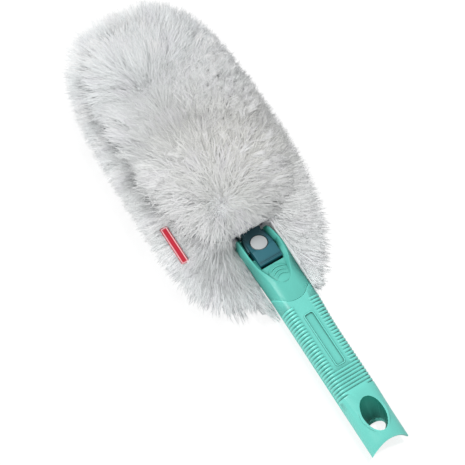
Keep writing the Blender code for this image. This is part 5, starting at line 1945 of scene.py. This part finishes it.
    def front_wisps(self) -> Strands:
        """The few long strands that fall from the rear whorl over the block's front corner.

        Returns:
            The strands.
        """
        count = self.front_wisp_count
        chance = self.chance
        x, y = chance.uniform(*self.front_wisp_x, count), chance.uniform(*self.front_wisp_y, count)
        places = np.stack([x, y, np.full(count, self.front_wisp_height)], 1)
        even = np.ones(count)
        comb = laid_flat(np.stack([even, chance.normal(-0.12, 0.12, count)], 1))
        rise = comb + upward(even * 0.35)
        end = comb + upward(even * -1.1)
        length = chance.uniform(*self.front_wisp_lengths, count)
        up = np.tile(np.array([0.3, 0.0, 0.95]), (count, 1))
        # Painted highlight: these strands are drawn a little brighter than the rest of the pile
        return Strands(
            places, up, rise, end, length, even * 0.0, 2.0, even * 1.08, width=0.27, wave=1.2, over_block=True
        )

    def patches(self, x: Array, y: Array, phase: float) -> Array:
        """Soft patches over the pile, from -1 to 1, some 20 mm across.

        Args:
            x: Places along the duster.
            y: Places across it.
            phase: Shifts the patches.

        Returns:
            The value at each place.
        """
        bent = x + 7.0 * np.sin(y * 0.14 + phase)
        first = np.sin(bent * 0.21 + phase) * np.sin(y * 0.24 + 0.04 * x + 2.0 * phase)
        second = np.sin(bent * 0.09 - y * 0.31 + phase) * np.sin(bent * 0.37 + y * 0.12)
        return 0.6 * first + 0.4 * second

    def tint_and_painted_light(self, points: Array, strands: Strands) -> Array:
        """Colours of the strands, with their painted light and shade.

        Args:
            points: Points by strand, station and axis.
            strands: The crop.

        Returns:
            Colour by strand and station: cool at the tip of the head, warmer behind, with painted shade at
                the roots, painted highlights at the tips and the crops' and places' painted light and shade.
        """
        x, y = points[:, 0, 0], points[:, 0, 1]
        warm = near(x, y, self.warm_centre, self.warm_reach)[:, None, None]
        base = np.array(self.cool) * (1.0 - warm) + np.array(self.warm) * warm
        blush = (self.blush_share * smooth(self.patches(x, y, 1.7) * 1.6))[:, None, None]
        base = base * (1.0 - blush) + np.array(self.lilac) * blush
        steps = np.array(strands.stations)[None, :, None]
        # Painted shade at the roots and painted highlights at the tips
        shade = strands.root_shade + (strands.tip_shade - strands.root_shade) * smooth(steps * 1.2)
        each = self.chance.normal(1.0, self.strand_gain, (len(points), 1, 1)) * strands.shade[:, None, None]
        each *= 1.0 + self.patch_gain * self.patches(x, y, 0.0)[:, None, None]
        # Painted light and shade of the shade spots
        for centre, radius, gain in self.shade_spots:
            each *= 1.0 + gain * near(x, y, centre, radius)[:, None, None]
        return np.clip(base * shade * each, *self.shade_limits)

    def grow(self, name: str, crop: Strands) -> list[Piece]:
        """Makes a crop's meshes, split so that none is too large.

        Args:
            name: The crop's name.
            crop: The strands.

        Returns:
            The dressed pieces.
        """
        points = crop.curves(self.head, self.chance)
        tint_and_painted_light = self.tint_and_painted_light(points, crop)
        parts = math.ceil(len(points) / self.strands_a_mesh)
        order = np.argsort(points[:, 0, 0], kind="stable")
        pieces = []
        for number, chosen in enumerate(np.array_split(order, parts)):
            mesh = PileMesh(f"{name}_{number}", crop.width)
            piece = mesh.build(points[chosen], crop.normals[chosen], tint_and_painted_light[chosen], self.chance)
            pieces.append(dress(piece, self.yarn, Body.HEAD))
        LOG.info("%s: %d strands in %d pieces", name, len(points), parts)
        return pieces

    def trim(self) -> list[Piece]:
        """Dresses the mouth band, the side label, the backing cloths and the paddle.

        Returns:
            The pieces.
        """
        nodes = frame["nodes"]
        lilac = self.fleece.build()
        cloth = self.knit.build()
        red = WovenTag.of("side_label").build()
        plastic = self.paddle.build()
        return [
            dress(nodes["mouth_band"], lilac, Body.HEAD),
            dress(nodes["upper_backing"], cloth, Body.HEAD),
            dress(nodes["lower_backing"], cloth, Body.HEAD),
            dress(nodes["side_label"], red, Body.HEAD),
            dress(nodes["paddle_frame"], plastic, Body.HEAD),
        ]


# Studio


@dataclass
class PhotoCamera:
    """The photograph's camera: over the grip, turned and rolled, with a long lens."""

    place: Point = (0.39085, -0.4658, 1.5186)
    right: Point = (0.5358, 0.8367, 0.1137)
    down: Point = (0.8095, -0.4708, -0.3508)
    ahead: Point = (-0.2400, 0.2800, -0.9295)
    focal_pixels: float = 2017.65
    image_pixels: float = 465.0
    sensor_width: float = 36.0
    nearest: float = 0.05
    farthest: float = 20.0

    def build(self) -> Piece:
        """Makes the camera and puts it to use.

        Returns:
            The camera's object.
        """
        data = bpy.data.cameras.new("photo_camera")
        data.sensor_width = self.sensor_width
        data.lens = self.focal_pixels / self.image_pixels * self.sensor_width
        data.clip_start = self.nearest
        data.clip_end = self.farthest
        camera = bpy.data.objects.new("photo_camera", data)
        bpy.context.scene.collection.objects.link(camera)
        right, down, ahead = (Vector(line) for line in (self.right, self.down, self.ahead))
        turn = Matrix((right, -down, -ahead)).transposed().to_4x4()
        camera.matrix_world = Matrix.Translation(self.place) @ turn
        bpy.context.scene.camera = camera
        return camera


@dataclass
class Studio:
    """Soft daylight-white studio light over a white floor."""

    centre: Point = (0.0, 0.0, 0.02)
    ambient: float = 0.705
    sky: Colour = (0.985, 0.995, 1.0)
    floor_size: float = 6.0
    key_way: Point = (-0.42, -0.58, 0.95)
    key_power: float = 25.0
    key_size: float = 0.9
    key_distance: float = 1.7
    fill_way: Point = (0.7, 0.7, 0.8)
    fill_power: float = 2.5

    def lamp(self, name: str, way: Point, power: float, size: float) -> None:
        """Hangs a square soft light.

        Args:
            name: The lamp's name.
            way: The way from the duster to the lamp.
            power: Its power in watts.
            size: Its side in metres.
        """
        data = bpy.data.lights.new(name, "AREA")
        data.energy = power
        data.size = size
        made = bpy.data.objects.new(name, data)
        bpy.context.scene.collection.objects.link(made)
        aim = Vector(way).normalized()
        made.location = Vector(self.centre) + aim * self.key_distance
        made.rotation_euler = aim.to_track_quat("Z", "Y").to_euler()

    def world(self) -> None:
        """Lights the scene evenly, with a plain white background for the camera."""
        world = bpy.data.worlds.new("studio_world")
        bpy.context.scene.world = world
        world.use_nodes = True
        tree = world.node_tree
        tree.nodes.clear()
        output = tree.nodes.new("ShaderNodeOutputWorld")
        soft = tree.nodes.new("ShaderNodeBackground")
        soft.inputs["Color"].default_value = (*self.sky, 1.0)
        soft.inputs["Strength"].default_value = self.ambient
        white = tree.nodes.new("ShaderNodeBackground")
        white.inputs["Color"].default_value = (*WHITE, 1.0)
        white.inputs["Strength"].default_value = 1.0
        path = tree.nodes.new("ShaderNodeLightPath")
        choice = tree.nodes.new("ShaderNodeMixShader")
        seen = tree.nodes.new("ShaderNodeMath")
        seen.operation = "MAXIMUM"
        tree.links.new(path.outputs["Is Camera Ray"], seen.inputs[0])
        tree.links.new(path.outputs["Is Glossy Ray"], seen.inputs[1])
        tree.links.new(seen.outputs["Value"], choice.inputs["Fac"])
        tree.links.new(soft.outputs["Background"], choice.inputs[1])
        tree.links.new(white.outputs["Background"], choice.inputs[2])
        tree.links.new(choice.outputs["Shader"], output.inputs["Surface"])

    def floor(self) -> Piece:
        """Lays the floor.

        Returns:
            The floor's object.
        """
        bpy.ops.object.select_all(action="DESELECT")
        bpy.ops.mesh.primitive_plane_add(size=self.floor_size, location=(0.0, 0.0, 0.0))
        floor = bpy.context.active_object
        floor.name = "studio_floor"
        floor.data.materials.append(StudioFloor().build())
        return floor

    def build(self) -> None:
        """Sets up the world, the floor and the lamps."""
        self.world()
        self.floor()
        self.lamp("key_light", self.key_way, self.key_power, self.key_size)
        self.lamp("fill_light", self.fill_way, self.fill_power, self.key_size)
        bpy.context.scene.view_settings.view_transform = "Standard"


def main() -> None:
    """Builds the duster and its studio."""
    for sub_assembly in (Grip(), Adapter(), Cover()):
        for piece in sub_assembly.build():
            LOG.info("%s: %d faces", piece.name, len(piece.data.polygons))
    PhotoCamera().build()
    Studio().build()


if __name__ == "__main__":
    main()
